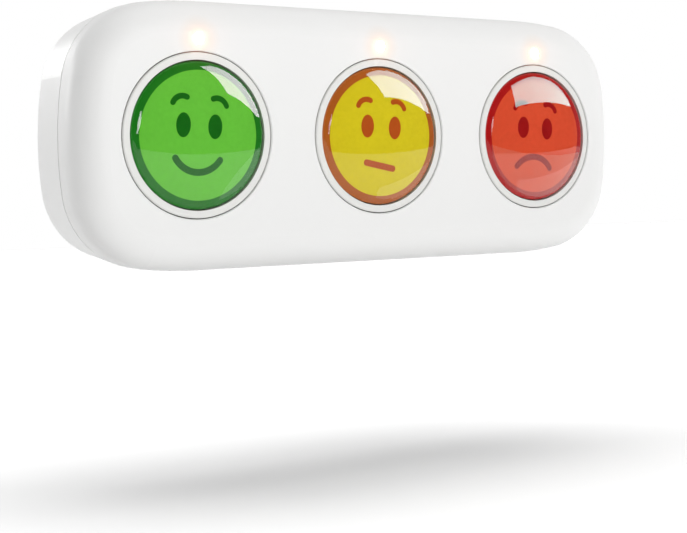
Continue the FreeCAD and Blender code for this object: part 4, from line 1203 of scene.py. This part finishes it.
def softRubber():
    # pores and a dusting of talc
    finish = mouldedPlastic("sealRubber", hidden["rubber"], rough=0.72, grain=0.008, variation=0.12)
    place = finish.place()
    talc = finish.patches(place, scale=420, start=0.55, end=0.75, most=0.22, detail=6, roughness=0.75)
    finish.overlay(talc, hidden["talc"])
    finish.bump(finish.dots(place, pitch=0.9 * mm, radius=0.08 * mm, jitter=1.0), depth=-0.03 * mm)
    return finish


def switchCase():
    # black nylon with moulded joint lines and a fine glass grain
    finish = mouldedPlastic("switchCase", hidden["black"], rough=0.42, grain=0.003, variation=0.15)
    finish.bump(finish.lines(finish.place(), "Y", pitch=2.1 * mm, wide=0.12 * mm), depth=-0.05 * mm)
    fibres = finish.patches(finish.place((1, 1, 5)), scale=900, start=0.6, end=0.75,
                            most=0.4, detail=5, roughness=0.7)
    finish.overlay(fibres, hidden["fibre"])
    return finish


coil = {
    "radius": 12.8 * mm,
    "wire": 0.5 * mm,
    "seat": -30.9 * mm,       # the guide's floor, where the coil stands
    "free": 9.6 * mm,
    "travel": 2.5 * mm,
    "turns": 3.5,
    "stepsPerTurn": 56,
    "wireSteps": 14,
    "smooth": 60,
}


def coilSpring(colour, facts, wire):
    # the return spring, standing on its seat at its free length; nothing here shortens it as the button goes
    # in
    bm = bmesh.new()
    made = bmesh.ops.create_circle(bm, segments=coil["wireSteps"], radius=coil["wire"])
    bmesh.ops.translate(bm, vec=(coil["radius"], coil["seat"] - coil["wire"], 0), verts=made["verts"])
    steps = int(coil["turns"] * coil["stepsPerTurn"])
    rise = (coil["free"] - 2 * coil["wire"]) / steps
    bmesh.ops.spin(bm, geom=bm.verts[:] + bm.edges[:], axis=(0, -1, 0), dvec=(0, -rise, 0),
                   angle=coil["turns"] * 2 * math.pi, steps=steps)
    bmesh.ops.holes_fill(bm, edges=[edge for edge in bm.edges if edge.is_boundary], sides=0)
    piece = finishRound(f"coilSpring_{colour}", bm, wire, facts["x"], coil["smooth"])
    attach(piece, "housing")
    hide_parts(f"return_spring_{colour}")
    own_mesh(piece)


def finishInside():
    white = mouldedPlastic("stemNylon", hidden["nylon"], rough=0.4, grain=0.003, variation=0.06)
    guide, case, spring = guideNylon(), switchCase(), springWire()
    nickel, screw = nickelStrip(), platedScrew()
    for colour, facts in buttons.items():
        wear(f"button_guide_{colour}", guide)
        coilSpring(colour, facts, spring)
        wear(f"switch_body_{colour}", case)
        wear(f"switch_stem_{colour}", white)
        wear(f"indicator_lamp_{colour}", lampChip(colour, facts))
    wear("housing_gasket", softRubber())
    wear("main_board", boardLacquer())
    wear("controller_chip", chipEpoxy())
    wear("small_parts", smallChips())
    wear("antenna", antennaCeramic())
    wear("radio_module", shieldCan("radioShield", pitch=2.6 * mm, radius=0.5 * mm))
    wear("sim_holder", shieldCan("simHolder", pitch=4.4 * mm, radius=0.7 * mm))
    wear("wall_plate", spangledZinc())
    for node in ("contact_minus", "contact_plus", "contact_bridge"):
        wear(node, nickel)
    for node in ("housing_screws", "guide_screws", "board_screws", "door_screws", "lock_screw",
                 "hanging_stud_left", "hanging_stud_right"):
        wear(node, screw)
    for count in cells["rows"]:
        wear(f"battery_cell_{count}", cellWrap(count))


finishCase()
shadeGapRings()
print("case finished")
finishButtons()
lightIndicators()
print("indicator lamps lit")
finishInside()
print("inside finished")
lightStudio()
addBloom()
bpy.context.scene.view_settings.view_transform = "Standard"
print("studio lit")
